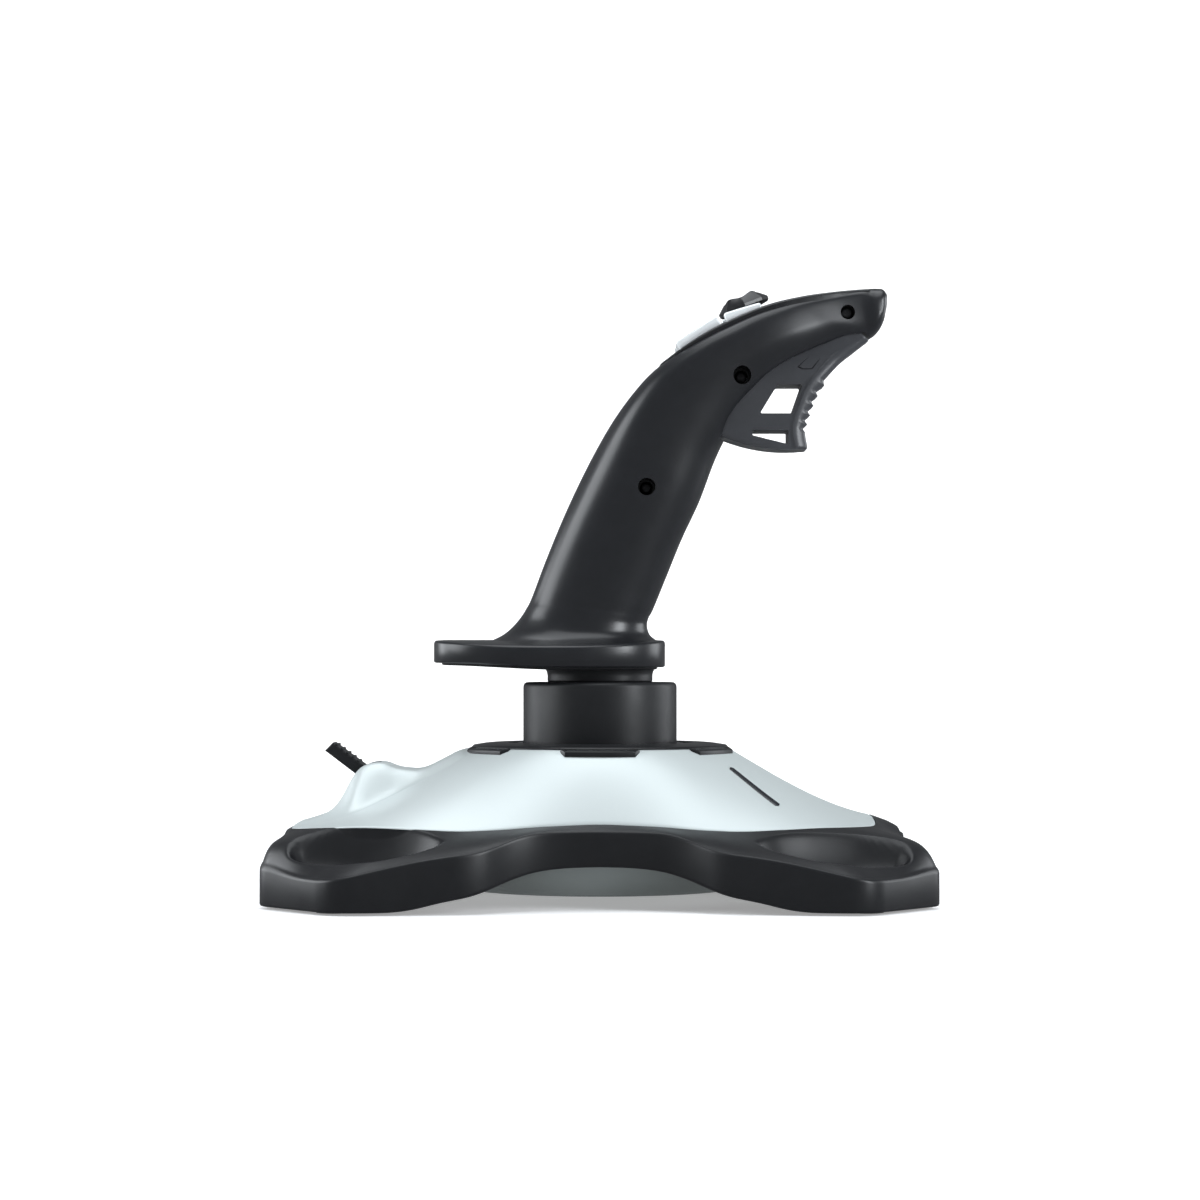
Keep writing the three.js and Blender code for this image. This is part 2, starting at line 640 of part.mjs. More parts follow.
function handRest() {
  const { y, halfY, halfX, bottom, rim, crown, power } = PLATE;
  const ring = (shrink, z) =>
    superellipse(halfX - shrink, halfY - shrink, y, power, 28).map(([px, py]) => [px, py, z]);
  const edges = [ring(1, bottom), ring(0, bottom + 1), ring(0, rim - 1), ring(1.2, rim)];
  return skin([...edges, ring(9, rim + crown)], false);
}

// The deck's top line from the heel of the head to the nose, as [y, z] points on a smooth curve.
const deckCurve = new THREE.SplineCurve(
  [[25, 206.4], [34, 212.9], [45.7, 219.7], [62.6, 226.9], [76.9, 230.6], [90, 232.7], [98, 233.6]].map(
    ([y, z]) => new THREE.Vector2(y, z),
  ),
);
const DECK = { thick: 2.4, half: 18.6, noseHalf: 8 };

// A band under the deck line, from depth near to depth far.
function deckBand(near, far, x0, x1, trim) {
  const steps = 9;
  const at = (i) => deckCurve.getPoint(trim + ((1 - 2 * trim) * i) / steps);
  const normalAt = (i) => {
    const tangent = deckCurve.getTangent(trim + ((1 - 2 * trim) * i) / steps);
    return new THREE.Vector2(-tangent.y, tangent.x);
  };
  const line = (depth) =>
    [...Array(steps + 1).keys()].map((i) => at(i).addScaledVector(normalAt(i), -depth).toArray());
  return slabX([...line(far), ...line(near).reverse()], x0, x1);
}

// The deck seen from above.
function deckPlan(grow) {
  const { half, noseHalf } = DECK;
  const right = [
    [half - 5, 24 - grow], [half + grow, 31], [half + grow, 66], [half - 4 + grow, 82],
    [noseHalf + grow, 98 + grow],
  ];
  return slabZ([...right, ...right.map(([x, y]) => [-x, y]).reverse()], 190, 245);
}

// A place on the deck: the point at one y, sunk below the deck, and the lean of its normal plus a tip.
function deckPlace(x, y, sink = 0, tip = 0) {
  let t = 0.5;
  for (let step = 0.25; step > 1e-5; step /= 2) t += deckCurve.getPoint(t).x < y ? step : -step;
  const tangent = deckCurve.getTangent(t);
  const point = deckCurve.getPoint(t).add(new THREE.Vector2(tangent.y, -tangent.x).multiplyScalar(sink));
  return { position: new THREE.Vector3(x, point.x, point.y), lean: Math.atan2(tangent.y, tangent.x) + tip };
}

const TOP_BUTTONS = [
  { name: "top_button_3", x: -8.6, y: 37.8, sink: 0.7, tip: -0.06, w: 13.6, l: 18.4, h: 3.7 },
  { name: "top_button_4", x: 8.6, y: 37.8, sink: 0.7, tip: -0.06, w: 13.6, l: 18.4, h: 3.7 },
  { name: "top_button_5", x: -13.6, y: 54.4, sink: 0.6, tip: -0.09, w: 5.6, l: 14.6, h: 3 },
  { name: "top_button_6", x: 13.6, y: 54.4, sink: 0.6, tip: -0.09, w: 5.6, l: 14.6, h: 3 },
];
const buttonPlace = ({ x, y, sink, tip }) => deckPlace(x, y, sink, tip);
const HAT = { y: 56.2, half: 8.2, height: 8.2, stem: 2.6, opening: 6.2, pivot: 4.6 };

// A button as a block whose top edges are chamfered, standing through the deck.
function topButton({ w, l, h }, grow = 0) {
  const foot = -4.2 - grow * 4;
  const ring = (shrink, z) => {
    const hw = w / 2 - shrink + grow;
    const hl = l / 2 - shrink + grow;
    return [[-hw, -hl, z], [hw, -hl, z], [hw, hl, z], [-hw, hl, z]];
  };
  const top = grow ? h + 4 : h;
  return skin([ring(0, foot), ring(0, top - 0.9), ring(grow ? 0 : 0.9, top)], false);
}

const deckMatrix = ({ position, lean }) => new THREE.Matrix4().makeRotationX(lean).setPosition(position);
const buttonWells = () => TOP_BUTTONS.map((b) => moved(topButton(b, 0.35), deckMatrix(buttonPlace(b))));
const hatWell = () => moved(rod("z", HAT.opening, -9, 9), deckMatrix(deckPlace(0, HAT.y)));

// The trigger swings on a pin near the nose. Its side outline, as [y, z] points, runs along the back
// edge inside the head, the lower arc, and the ridged front edge.
const TRIGGER = { half: 11.4, topHalf: 8.6, pin: [0, 95, 217.2], ridges: 5 };
function triggerOutline() {
  const back = [
    [103, 213.8], [98.3, 217.4], [96.6, 219.8], [93.6, 219.9], [91.2, 218], [80, 212.6],
    [67.3, 202.9], [56.3, 191.6], [48.4, 182.6], [43.6, 177.4],
  ];
  const under = new THREE.QuadraticBezierCurve(
    new THREE.Vector2(46.6, 176.6),
    new THREE.Vector2(62, 171),
    new THREE.Vector2(78.4, 171),
  );
  const front = new THREE.CubicBezierCurve(
    new THREE.Vector2(78.8, 178.6),
    new THREE.Vector2(79.6, 190),
    new THREE.Vector2(85.4, 200.4),
    new THREE.Vector2(103, 213.8),
  );
  const teeth = [];
  for (let i = 0; i < TRIGGER.ridges; i += 1) {
    const low = front.getPoint(0.02 + i * 0.13);
    const high = front.getPoint(0.02 + (i + 0.75) * 0.13);
    teeth.push([low.x - 1.1, low.y], [high.x + 0.5, high.y]);
  }
  const upper = [0.72, 0.86].map((t) => front.getPoint(t).toArray());
  return [
    ...back,
    ...under.getPoints(5).map((p) => p.toArray()),
    [79.4, 172.4],
    [78.8, 178],
    ...teeth,
    ...upper,
  ];
}

const TRIGGER_WINDOW = [[61.4, 186.4], [73.6, 186.4], [77.4, 197.6], [68.6, 197.6]];
const TRIGGER_SLIT = [[58.8, 178.8], [72.4, 175], [72.4, 180], [58.8, 180]];

// The room the trigger may fill, seen from the front: narrower towards the nose.
function triggerWidth(grow) {
  const wide = TRIGGER.half + grow;
  const narrow = TRIGGER.topHalf + grow;
  const right = [[wide, 160], [wide, 198], [narrow, 212], [narrow, 240]];
  const outline = shapeOf([...right, ...right.map(([x, z]) => [-x, z]).reverse()]);
  const geometry = new THREE.ExtrudeGeometry(outline, { depth: 100, bevelEnabled: false });
  return solid(geometry.rotateX(Math.PI / 2).translate(0, 120, 0));
}

function trigger() {
  const { half, pin } = TRIGGER;
  const core = slabX(triggerOutline(), -half, half).intersect(triggerWidth(0));
  return cut(
    core,
    slabX(TRIGGER_WINDOW, -half - 1, half + 1),
    slabX(TRIGGER_SLIT, -half - 1, half + 1),
    rod("x", 1.6, -half - 1, half + 1, pin, 12),
  );
}

// The slot in the head that the trigger fills and swings into.
function triggerSlot() {
  const outline = [
    [112, 207], [104.6, 214.4], [99.8, 218], [97.6, 220.6], [93, 220.9], [90, 219.2], [79, 214.8],
    [65.4, 206.6], [53.4, 196.4], [44.8, 187.4], [40.2, 181.6], [42.8, 176.4], [49, 174.4], [58, 168],
  ];
  return slabX(outline, -30, 30).intersect(triggerWidth(0.6));
}

const PIN_HALF = 10.4; // the trigger pin ends blind in both shells
const GRIP_SCREWS = [[95.4, 224.8], [54.6, 200.8], [17.7, 157.1]];
const THUMB = { y: 41, z: 203.5, length: 16, width: 9 };

const gripBody = () => skin(GRIP.map((s) => gripLoop(s, 22, 0)), false);
const gripCavity = () => skin([
  [[-34, 88], [18, 88], 19, 2.2, 0], [[-32, 98], [17, 98], 18.6, 2.2, 0], ...GRIP.slice(2, 16),
].map((s, i) => gripLoop(s, 12, i < 2 ? 0 : WALL)), false);

function thumbShape(grow) {
  const geometry = geometryOf(capsule(THUMB.length, THUMB.width, 24.4 + grow * 20, -17.4 + grow * 20, grow));
  const turnedToLeft = new THREE.Matrix4().makeRotationY(-Math.PI / 2);
  geometry.rotateZ(Math.PI / 2).applyMatrix4(turnedToLeft).rotateX(0.9);
  return solid(geometry.translate(0, THUMB.y, THUMB.z));
}

function gripShells() {
  const outside = union(gripBody(), handRest());
  const insideRest = superellipse(PLATE.halfX - WALL, PLATE.halfY - WALL, PLATE.y, PLATE.power, 28);
  const hollow = union(gripCavity(), slabZ(insideRest, 80, PLATE.rim - WALL));
  const bosses = GRIP_SCREWS.map(([y, z]) => rod("x", 4.6, -16, 16, [0, y, z], 16).intersect(outside));
  const shell = union(cut(outside, hollow), ...bosses);
  const opened = cut(
    shell,
    deckBand(-8, DECK.thick + GAP, -30, 30, 0).intersect(deckPlan(GAP)),
    triggerSlot(),
    hatWell(),
    ...buttonWells(),
    thumbShape(0.4),
    ...GRIP_SCREWS.map(([y, z]) => rod("x", 1.9, -12, 30, [0, y, z], 12)),
    ...GRIP_SCREWS.map(([y, z]) => rod("x", 3.5, 7, 40, [0, y, z], 20)),
    rod("x", 1.6, -PIN_HALF - GAP, PIN_HALF + GAP, TRIGGER.pin, 12),
  );
  const side = (sign) => {
    const room = block([sign > 0 ? 0.15 : -60, -90, 60], [sign > 0 ? 60 : -0.15, 140, 260]);
    const pieces = opened.intersect(room).decompose();
    return pieces.reduce((largest, piece) => (piece.volume() > largest.volume() ? piece : largest));
  };
  return [side(1), side(-1)];
}

function deckCover() {
  const band = deckBand(0, DECK.thick, -30, 30, 0.012).intersect(deckPlan(0));
  return cut(band, hatWell(), ...buttonWells());
}

function hatCap() {
  const { half, height, stem } = HAT;
  const octagon = (r, z) => [...Array(8).keys()].map((i) => {
    const angle = ((i + 0.5) * Math.PI) / 4;
    return [r * Math.cos(angle), r * Math.sin(angle), z];
  });
  const r = half / Math.cos(Math.PI / 8);
  const side = [octagon(r - 1, 2.6), octagon(r, 3.6), octagon(r, 5.4), octagon(r - 2.4, height)];
  const crown = skin([...side, octagon(2.4, height - 1.6)], false);
  return union(crown, rod("z", stem, -2.2, 4, [0, 0, 0], 12));
}

function hatCross() {
  return cut(rod("z", 5.2, -7, -3.4, [0, 0, 0], 16), rod("z", 3.4, -5, 0, [0, 0, 0], 12));
}

// ---------------------------------------------------------------- small repeated pieces
const screw = (head, length) =>
  union(rod("z", head, 0, 1.8, [0, 0, 0], 12), rod("z", 1.3, -length, 0.4, [0, 0, 0], 8));

const place = (mesh, x, y, z) => mesh.position.set(x, y, z);

function buildBase() {
  add("base_top_cover", baseTopCover(), silver);
  add("base_frame", baseFrame(), black);
  add("bottom_cover", bottomCover(), softBlack);
  add("base_pan", basePan(), panSilver);
  add("bezel_ring", bezelRing(), black);
  add("cable_grommet", grommet(), rubber);
  const inlay = add("badge_strip", badge(0), chip);
  inlay.applyMatrix4(badgePlace);
  [[1, 1], [-1, 1], [1, -1], [-1, -1]].forEach(([sx, sy]) => {
    const end = sy > 0 ? "front" : "rear";
    const side = sx > 0 ? "right" : "left";
    const pad = add(`rubber_foot_${end}_${side}`, rod("z", 7, 0, 1.1, [0, 0, 0], 20), rubber);
    place(pad, sx * FOOT_PLACE[0], sy * FOOT_PLACE[1], 0);
    const bolt = add(`case_screw_${end}_${side}`, screw(1.8, 5.4), steel);
    bolt.rotation.x = Math.PI;
    place(bolt, sx * 62, sy * 108, 3.4);
  });
}

function buildInside() {
  const low = PAN.bottom + 2.4 + GAP + 0.4;
  const high = low + 3;
  add("ballast_plate", turned([[31, low], [47, low], [47, high], [31, high]], 40), steel);
  add("gimbal_tower", gimbalTower(), darkGrey);
  const sensorBoard = union(rod("z", 15.5, 12, 13.4, [0, 0, 0], 24), block([-4, -4, 13], [4, 4, 15.2]));
  add("tilt_sensor_board", sensorBoard, board);
  const main = union(
    block([-30, 36, 20], [30, 84, 21.6]),
    block([-8, 50, 21], [8, 64, 23]),
    block([14, 44, 21], [24, 52, 24]),
    block([-24, 70, 21], [-14, 78, 26]),
  );
  add("main_board", main, board);
  const pot = union(
    block([12, THROTTLE.y - 5, 33], [16.6, THROTTLE.y + 5, 43.4]),
    block([12, THROTTLE.y - 7, 31.6], [13.6, THROTTLE.y + 7, 34]),
  );
  const bore = rod("x", 1.9, 10, 15.6, [0, THROTTLE.y, THROTTLE.z], 12);
  add("throttle_pot", cut(pot, bore), chip);
  const middle = baseButtons[1].centre.clone().lerp(baseButtons[4].centre, 0.5);
  const sideBoard = add("base_button_board", block([-18, -9, -11.6], [18, 9, -10.3]), board);
  sideBoard.applyMatrix4(standing(middle, baseButtons[1].normal));
}

function buildThrottle() {
  const { y, z, restDeg, reach, drum, half, thick } = THROTTLE;
  const hub = rod("x", drum, -half, half, [0, 0, 0], 24);
  const axle = rod("x", 1.5, -13, 15.2, [0, 0, 0], 12);
  const ribs = [1.6, 6.2, 10.8].map((from) =>
    block([-half + 1.4, from - reach, thick / 2 - 0.2], [half - 1.4, from + 2.2 - reach, thick / 2 + 0.7]),
  );
  const paddle = block([-half + 0.8, -reach, -thick / 2], [half - 0.8, -6, thick / 2]);
  const lever = add("throttle_lever", union(hub, axle, paddle, ...ribs), darkGrey);
  lever.rotation.x = THREE.MathUtils.degToRad(-restDeg);
  place(lever, 0, y, z);
}

function buildBaseButtons() {
  baseButtons.forEach(({ centre, normal }, i) => {
    const { length, width, proud, deep } = BASE_BUTTON;
    const button = add(`base_button_${i + 7}`, capsule(length, width, proud, deep), darkGrey);
    button.applyMatrix4(standing(centre, normal));
  });
}

function buildStick() {
  add("gimbal_ring", gimbalRing(), whitePlastic);
  add("gimbal_core", gimbalCore(), whitePlastic);
  add("tilt_emitter", turned([[0, 24], [3.2, 24], [4, 25], [4, 27.7], [0, 27.7]], 16), chip);
  add("stick_shaft", stickShaft(), steel);
  add("centring_plate", centringPlate(), whitePlastic);
  add("centring_spring", coil(12, 0.9, 69.9, 79.2, 3.5), steel);
  add("collar_cup", collarCup(), softBlack);
}

function buildHandle() {
  const [right, left] = gripShells();
  add("grip_shell_right", right, black);
  add("grip_shell_left", left, black);
  const neckTop = PLATE.bottom + 1.6;
  const neck = [[5.6, 83.5], [20.4, 83.5], [20.4, 88], [16, neckTop], [5.6, neckTop]];
  add("twist_neck", turned(neck, 40), softBlack);
  const inset = WALL + 0.6;
  const outline = superellipse(PLATE.halfX - inset, PLATE.halfY - inset, PLATE.y, PLATE.power, 28);
  const plate = slabZ(outline, PLATE.bottom + 0.4, PLATE.bottom + 2.2);
  add("hand_rest_cover", cut(plate, rod("z", 20.9, 80, 100, [0, 0, 0], 24)), softBlack);
  add("twist_spring", coil(8.2, 0.7, 93.2, 98.6, 3), steel);
  const pot = cut(block([-8, -8, 107], [8, 8, 114]), rod("z", SHAFT.tip + 0.4, 100, 112, [0, 0, 0], 12));
  add("twist_pot", pot, chip);
  add("deck_cover", deckCover(), black);
  GRIP_SCREWS.forEach(([y, z], i) => {
    const bolt = add(`grip_screw_${i + 1}`, screw(2.8, 12), steel);
    bolt.rotation.y = Math.PI / 2;
    place(bolt, 7.4, y, z);
  });
  add("trigger_pin", rod("x", 1.3, -PIN_HALF, PIN_HALF, TRIGGER.pin, 10), steel);
  add("trigger_switch", block([-3, 52, 205.8], [3, 60.4, 209.4]), chip);
  const boardPlace = deckMatrix(deckPlace(0, 62));
  const chips = [[-6, -8], [6, -8], [-6, 6], [6, 6]].map(([x, y]) =>
    block([x - 2, y - 2, -12.5], [x + 2, y + 2, -9.6]),
  );
  const headBoard = union(block([-9, -12, -13.4], [9, 13, -12]), ...chips);
  add("handle_board", moved(headBoard, boardPlace), board);
}

function buildTrigger() {
  add("trigger", trigger(), black);
}

function buildTopControls() {
  TOP_BUTTONS.forEach((b) => {
    const button = add(b.name, topButton(b), buttonSilver);
    const { position, lean } = buttonPlace(b);
    button.position.copy(position);
    button.rotation.x = lean;
  });
  const { position, lean } = deckPlace(0, HAT.y);
  [["hat_cap", hatCap()], ["hat_cross", hatCross()]].forEach(([name, made]) => {
    const piece = add(name, made, black);
    piece.position.copy(position);
    piece.rotation.x = lean;
  });
  add("thumb_button_2", thumbShape(0), buttonSilver);
}

buildBase();
buildInside();
buildThrottle();
buildBaseButtons();
buildStick();
buildHandle();
buildTrigger();
buildTopControls();

export default model;
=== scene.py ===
"""Looks of the twist-handle flight joystick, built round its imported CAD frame.

Lengths in this file are millimetres until to_metres() turns a finished mesh into metres.
+Z is up, +Y is forward and +X is the user's right, as in the CAD.
"""
import json
import math

import bmesh
import bpy
import numpy as np
from mathutils import Matrix, Vector


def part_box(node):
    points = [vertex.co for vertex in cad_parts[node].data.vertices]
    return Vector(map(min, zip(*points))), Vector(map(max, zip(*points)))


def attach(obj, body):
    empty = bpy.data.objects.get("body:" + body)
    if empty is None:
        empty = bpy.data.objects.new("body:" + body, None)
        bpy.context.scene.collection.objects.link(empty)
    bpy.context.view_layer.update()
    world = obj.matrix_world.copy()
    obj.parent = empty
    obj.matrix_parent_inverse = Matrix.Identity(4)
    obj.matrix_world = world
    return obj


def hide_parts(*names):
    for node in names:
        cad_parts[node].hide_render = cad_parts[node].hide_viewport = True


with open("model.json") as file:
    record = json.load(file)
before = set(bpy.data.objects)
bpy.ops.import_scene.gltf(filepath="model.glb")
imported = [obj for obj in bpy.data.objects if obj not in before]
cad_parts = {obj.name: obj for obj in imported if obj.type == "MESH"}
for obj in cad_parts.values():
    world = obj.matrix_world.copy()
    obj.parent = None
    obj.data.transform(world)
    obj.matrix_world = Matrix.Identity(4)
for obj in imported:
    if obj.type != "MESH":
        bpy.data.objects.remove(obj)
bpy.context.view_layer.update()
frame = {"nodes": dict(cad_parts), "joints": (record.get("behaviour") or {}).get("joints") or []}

MM = 0.001
TAU = 2 * math.pi


# ---- node materials
def fill(node, values):
    """Sets a node's inputs by name."""
    for name, value in values.items():
        node.inputs[name].default_value = value


class Look:
    """A material being wired: one principled shader and the nodes that feed it."""

    def __init__(self, name, colour, roughness, metallic=0.0, **sockets):
        self.material = bpy.data.materials.new(name)
        self.material.use_nodes = True
        self.tree = self.material.node_tree
        self.shader = self.tree.nodes["Principled BSDF"]
        fill(self.shader, {"Base Color": (*colour, 1), "Roughness": roughness, "Metallic": metallic})
        fill(self.shader, {socket.replace("_", " "): value for socket, value in sockets.items()})
        self.place = self.node("ShaderNodeTexCoord").outputs["Object"]
        self.height = None

    def node(self, kind, **settings):
        made = self.tree.nodes.new(kind)
        for key, value in settings.items():
            setattr(made, key, value)
        return made

    def noise(self, per_metre, detail=3.0, rough=0.55, stretch=None):
        made = self.node("ShaderNodeTexNoise")
        fill(made, {"Scale": per_metre, "Detail": detail, "Roughness": rough})
        source = self.place
        if stretch:
            mapping = self.node("ShaderNodeMapping")
            fill(mapping, {"Scale": stretch})
            self.tree.links.new(source, mapping.inputs["Vector"])
            source = mapping.outputs["Vector"]
        self.tree.links.new(source, made.inputs["Vector"])
        return made.outputs["Fac"]

    def spread(self, value, low, high, start=0.35, end=0.65):
        made = self.node("ShaderNodeMapRange")
        fill(made, {"From Min": start, "From Max": end, "To Min": low, "To Max": high})
        self.tree.links.new(value, made.inputs["Value"])
        return made.outputs["Result"]

    def tint(self, value, first, second):
        made = self.node("ShaderNodeMix", data_type="RGBA")
        fill(made, {"A": (*first, 1), "B": (*second, 1)})
        self.tree.links.new(value, made.inputs["Factor"])
        self.tree.links.new(made.outputs["Result"], self.shader.inputs["Base Color"])

    def gloss(self, value, low, high, start=0.35, end=0.65):
        self.tree.links.new(self.spread(value, low, high, start, end), self.shader.inputs["Roughness"])

    def bump(self, value, depth_mm, strength=1.0):
        made = self.node("ShaderNodeBump")
        fill(made, {"Distance": depth_mm * MM, "Strength": strength})
        self.tree.links.new(value, made.inputs["Height"])
        if self.height is not None:
            self.tree.links.new(self.height, made.inputs["Normal"])
        self.height = made.outputs["Normal"]
        self.tree.links.new(self.height, self.shader.inputs["Normal"])


def moulded(name, colour, roughness, grain_mm=0.35, grain_depth=0.01, wear=0.06, **sockets):
    """Moulded plastic: fine spark-eroded grain, slow gloss changes from handling, faint colour drift."""
    look = Look(name, colour, roughness, **sockets)
    slow = look.noise(45, detail=4)
    look.gloss(slow, roughness - wear, roughness + wear)
    lighter = tuple(min(1, c * 1.18 + 0.0015) for c in colour)
    darker = tuple(c * 0.86 for c in colour)
    look.tint(look.noise(130, detail=5), darker, lighter)
    look.bump(look.noise(1000 / grain_mm, detail=2), grain_depth)
    return look.material


def painted(name, colour, roughness, metallic, flake=0.05):
    """Silver paint on plastic: tiny flakes that vary the gloss, over a faint orange peel."""
    look = Look(name, colour, roughness, metallic)
    flakes = look.noise(5200, detail=2, rough=0.7)
    look.gloss(flakes, roughness - flake, roughness + flake, 0.3, 0.7)
    darker, lighter = tuple(c * 0.955 for c in colour), tuple(min(1, c * 1.03) for c in colour)
    look.tint(look.noise(3300, detail=3, rough=0.6), darker, lighter)
    look.bump(look.noise(650, detail=2), 0.006, 0.7)
    look.bump(flakes, 0.002, 0.6)
    return look.material


def metal(name, colour, roughness):
    """Plated steel: fine turning lines and dull patches."""
    look = Look(name, colour, roughness, 1.0)
    look.gloss(look.noise(300, detail=4), roughness - 0.08, roughness + 0.12)
    look.tint(look.noise(900, detail=3), tuple(c * 0.85 for c in colour), colour)
    look.bump(look.noise(2500, detail=1, stretch=(1, 1, 0.12)), 0.004)
    return look.material


def board_green(name):
    """Circuit board: green mask with paler copper tracks under it."""
    look = Look(name, (0.01, 0.12, 0.05), 0.3)
    tracks = look.noise(260, detail=0, stretch=(1, 6, 1))
    look.tint(look.spread(tracks, 0, 1, 0.49, 0.53), (0.008, 0.1, 0.04), (0.03, 0.22, 0.09))
    look.bump(tracks, 0.02)
    return look.material


BLACK = moulded("black_satin_plastic", (0.0095, 0.0102, 0.0122), 0.31, 0.32, 0.0015, 0.025)
BLACK_BASE = moulded(
    "black_base_plastic", (0.0075, 0.008, 0.0094), 0.38, 0.45, 0.004, 0.04, Specular_IOR_Level=0.38
)
BLACK_MATTE = moulded(
    "black_matte_plastic", (0.0095, 0.0101, 0.0114), 0.42, 0.4, 0.006, 0.04, Specular_IOR_Level=0.3
)
BLACK_DECK = moulded("black_deck_plastic", (0.0072, 0.0077, 0.0088), 0.3, 0.3, 0.004)
# The trigger's black is about four times lighter than the shell's: painted light for the light on its flat
# side, set against the shell's shadow on it.
TRIGGER_LIT_BLACK = moulded("black_trigger_painted_light", (0.036, 0.0375, 0.042), 0.36, 0.35, 0.004, 0.04)
GREY = moulded("dark_grey_plastic", (0.03, 0.031, 0.034), 0.42, 0.4, 0.01)
RUBBER = moulded("rubber", (0.012, 0.012, 0.012), 0.82, 0.6, 0.05, 0.05)
ACETAL = moulded("natural_acetal", (0.62, 0.6, 0.54), 0.4, 0.5, 0.006)
CHIP = moulded("component_black", (0.015, 0.015, 0.016), 0.35, 0.3, 0.004)
INLAY = moulded("dark_inlay", (0.01, 0.012, 0.016), 0.16, 0.8, 0.002, 0.03)
SILVER = painted("satin_silver_paint", (0.585, 0.64, 0.638), 0.42, 0.3)
# The pan's silver is the dome's paint made much darker: painted shade, for the shade the pan sits in under
# the base.
PAN_SILVER_PAINTED_SHADE = painted("pan_silver_painted_shade", (0.245, 0.27, 0.266), 0.42, 0.3)
BUTTON_SILVER = painted("bright_silver_paint", (0.8, 0.83, 0.84), 0.24, 0.25, 0.03)
STEEL = metal("plated_steel", (0.6, 0.6, 0.61), 0.3)
DARK_STEEL = metal("blackened_screws", (0.12, 0.12, 0.125), 0.5)
IRON = metal("ballast_iron", (0.25, 0.25, 0.26), 0.55)
GREEN = board_green("circuit_board")


# ---- meshes
def smooth_mesh(mesh, sharp_degrees=38):
    """Smooth shading that stays crisp on edges sharper than an angle."""
    shape = bmesh.new()
    shape.from_mesh(mesh)
    limit = math.radians(sharp_degrees)
    for face in shape.faces:
        face.smooth = True
    for edge in shape.edges:
        edge.smooth = len(edge.link_faces) == 2 and edge.calc_face_angle(0) < limit
    shape.to_mesh(mesh)
    shape.free()


def clean(mesh):
    """Merges doubled points and turns every face outwards."""
    shape = bmesh.new()
    shape.from_mesh(mesh)
    bmesh.ops.remove_doubles(shape, verts=shape.verts, dist=1e-4)
    bmesh.ops.recalc_face_normals(shape, faces=shape.faces)
    shape.to_mesh(mesh)
    shape.free()


def mesh_of(name, shape):
    """A mesh made from a bmesh, which is freed."""
    mesh = bpy.data.meshes.new(name)
    shape.to_mesh(mesh)
    shape.free()
    return mesh


def linked(name, data):
    """A new object in the scene."""
    made = bpy.data.objects.new(name, data)
    bpy.context.scene.collection.objects.link(made)
    return made


def at(x, y, z, angle=0.0, axis="X"):
    """The matrix of a place, turned by an angle about one axis."""
    return Matrix.Translation((x, y, z)) @ Matrix.Rotation(angle, 4, axis)


# Turns a shape's (u, v, w) into (y, z, x), so that a slab is drawn as seen from the side.
TO_YZ = Matrix(((0, 0, 1), (1, 0, 0), (0, 1, 0))).to_4x4()
QUARTER = math.pi / 2


def raw_object(name, points, faces):
    mesh = bpy.data.meshes.new(name)
    mesh.from_pydata([tuple(p) for p in np.asarray(points, float)], [], faces)
    mesh.validate()
    clean(mesh)
    return linked(name, mesh)


def loft(name, rows, closed=False, caps=True):
    """Rows of loop points joined in order; a closed run is a ring, an open one gets end caps."""
    rows = [np.asarray(r, float) for r in rows]
    count = len(rows[0])
    points = list(np.vstack(rows))
    faces = []
    for j in range(len(rows) - (0 if closed else 1)):
        a, b = j * count, ((j + 1) % len(rows)) * count
        for i in range(count):
            k = (i + 1) % count
            faces.append((a + i, a + k, b + k, b + i))
    if caps and not closed:
        for start in (0, (len(rows) - 1) * count):
            points.append(np.mean(points[start:start + count], axis=0))
            middle = len(points) - 1
            faces += [(start + i, start + (i + 1) % count, middle) for i in range(count)]
    return raw_object(name, points, faces)


def around(reach, angle, z):
    """Points at a distance and direction from the Z axis."""
    return np.stack([reach * np.cos(angle), reach * np.sin(angle), z], 1)


def lathe(name, profile, sides=96):
    """A profile of [radius, height] points turned about Z, closed on itself unless it starts on the axis."""
    turn = np.linspace(0, TAU, sides, endpoint=False)
    rows = [around(r, turn, np.full(sides, z)) for r, z in profile]
    on_axis = profile[0][0] < 1e-6
    return loft(name, rows, closed=not on_axis, caps=False)


def bend(start, corner, end, steps):
    """Points of the quadratic curve from start to end that is drawn towards a corner."""
    return [(1 - t) ** 2 * start + 2 * t * (1 - t) * corner + t * t * end for t in steps]


def rounded(profile, radii, steps=4):
    """An open [r, z] polyline with its inner corners rounded, one radius per corner."""
    points = [np.array(p, float) for p in profile]
    made = [points[0]]
    for before, corner, after, radius in zip(points, points[1:], points[2:], radii):
        if radius <= 0:
            made.append(corner)
            continue
        back, on = before - corner, after - corner
        reach = min(radius, 0.48 * np.linalg.norm(back), 0.48 * np.linalg.norm(on))
        start = corner + back / np.linalg.norm(back) * reach
        end = corner + on / np.linalg.norm(on) * reach
        made += bend(start, corner, end, np.linspace(0, 1, steps + 1))
    made.append(points[-1])
    return [tuple(p) for p in made]


def rod(name, radius, half, edge, sides, place):
    """A round bar, its ends' edges rounded, turned to lie along X and moved to a place."""
    profile = [(0, -half), (radius, -half), (radius, half), (0, half)]
    bar = lathe(name, rounded(profile, [edge, edge]), sides)
    bar.data.transform(place @ Matrix.Rotation(QUARTER, 4, "Y"))
    return bar


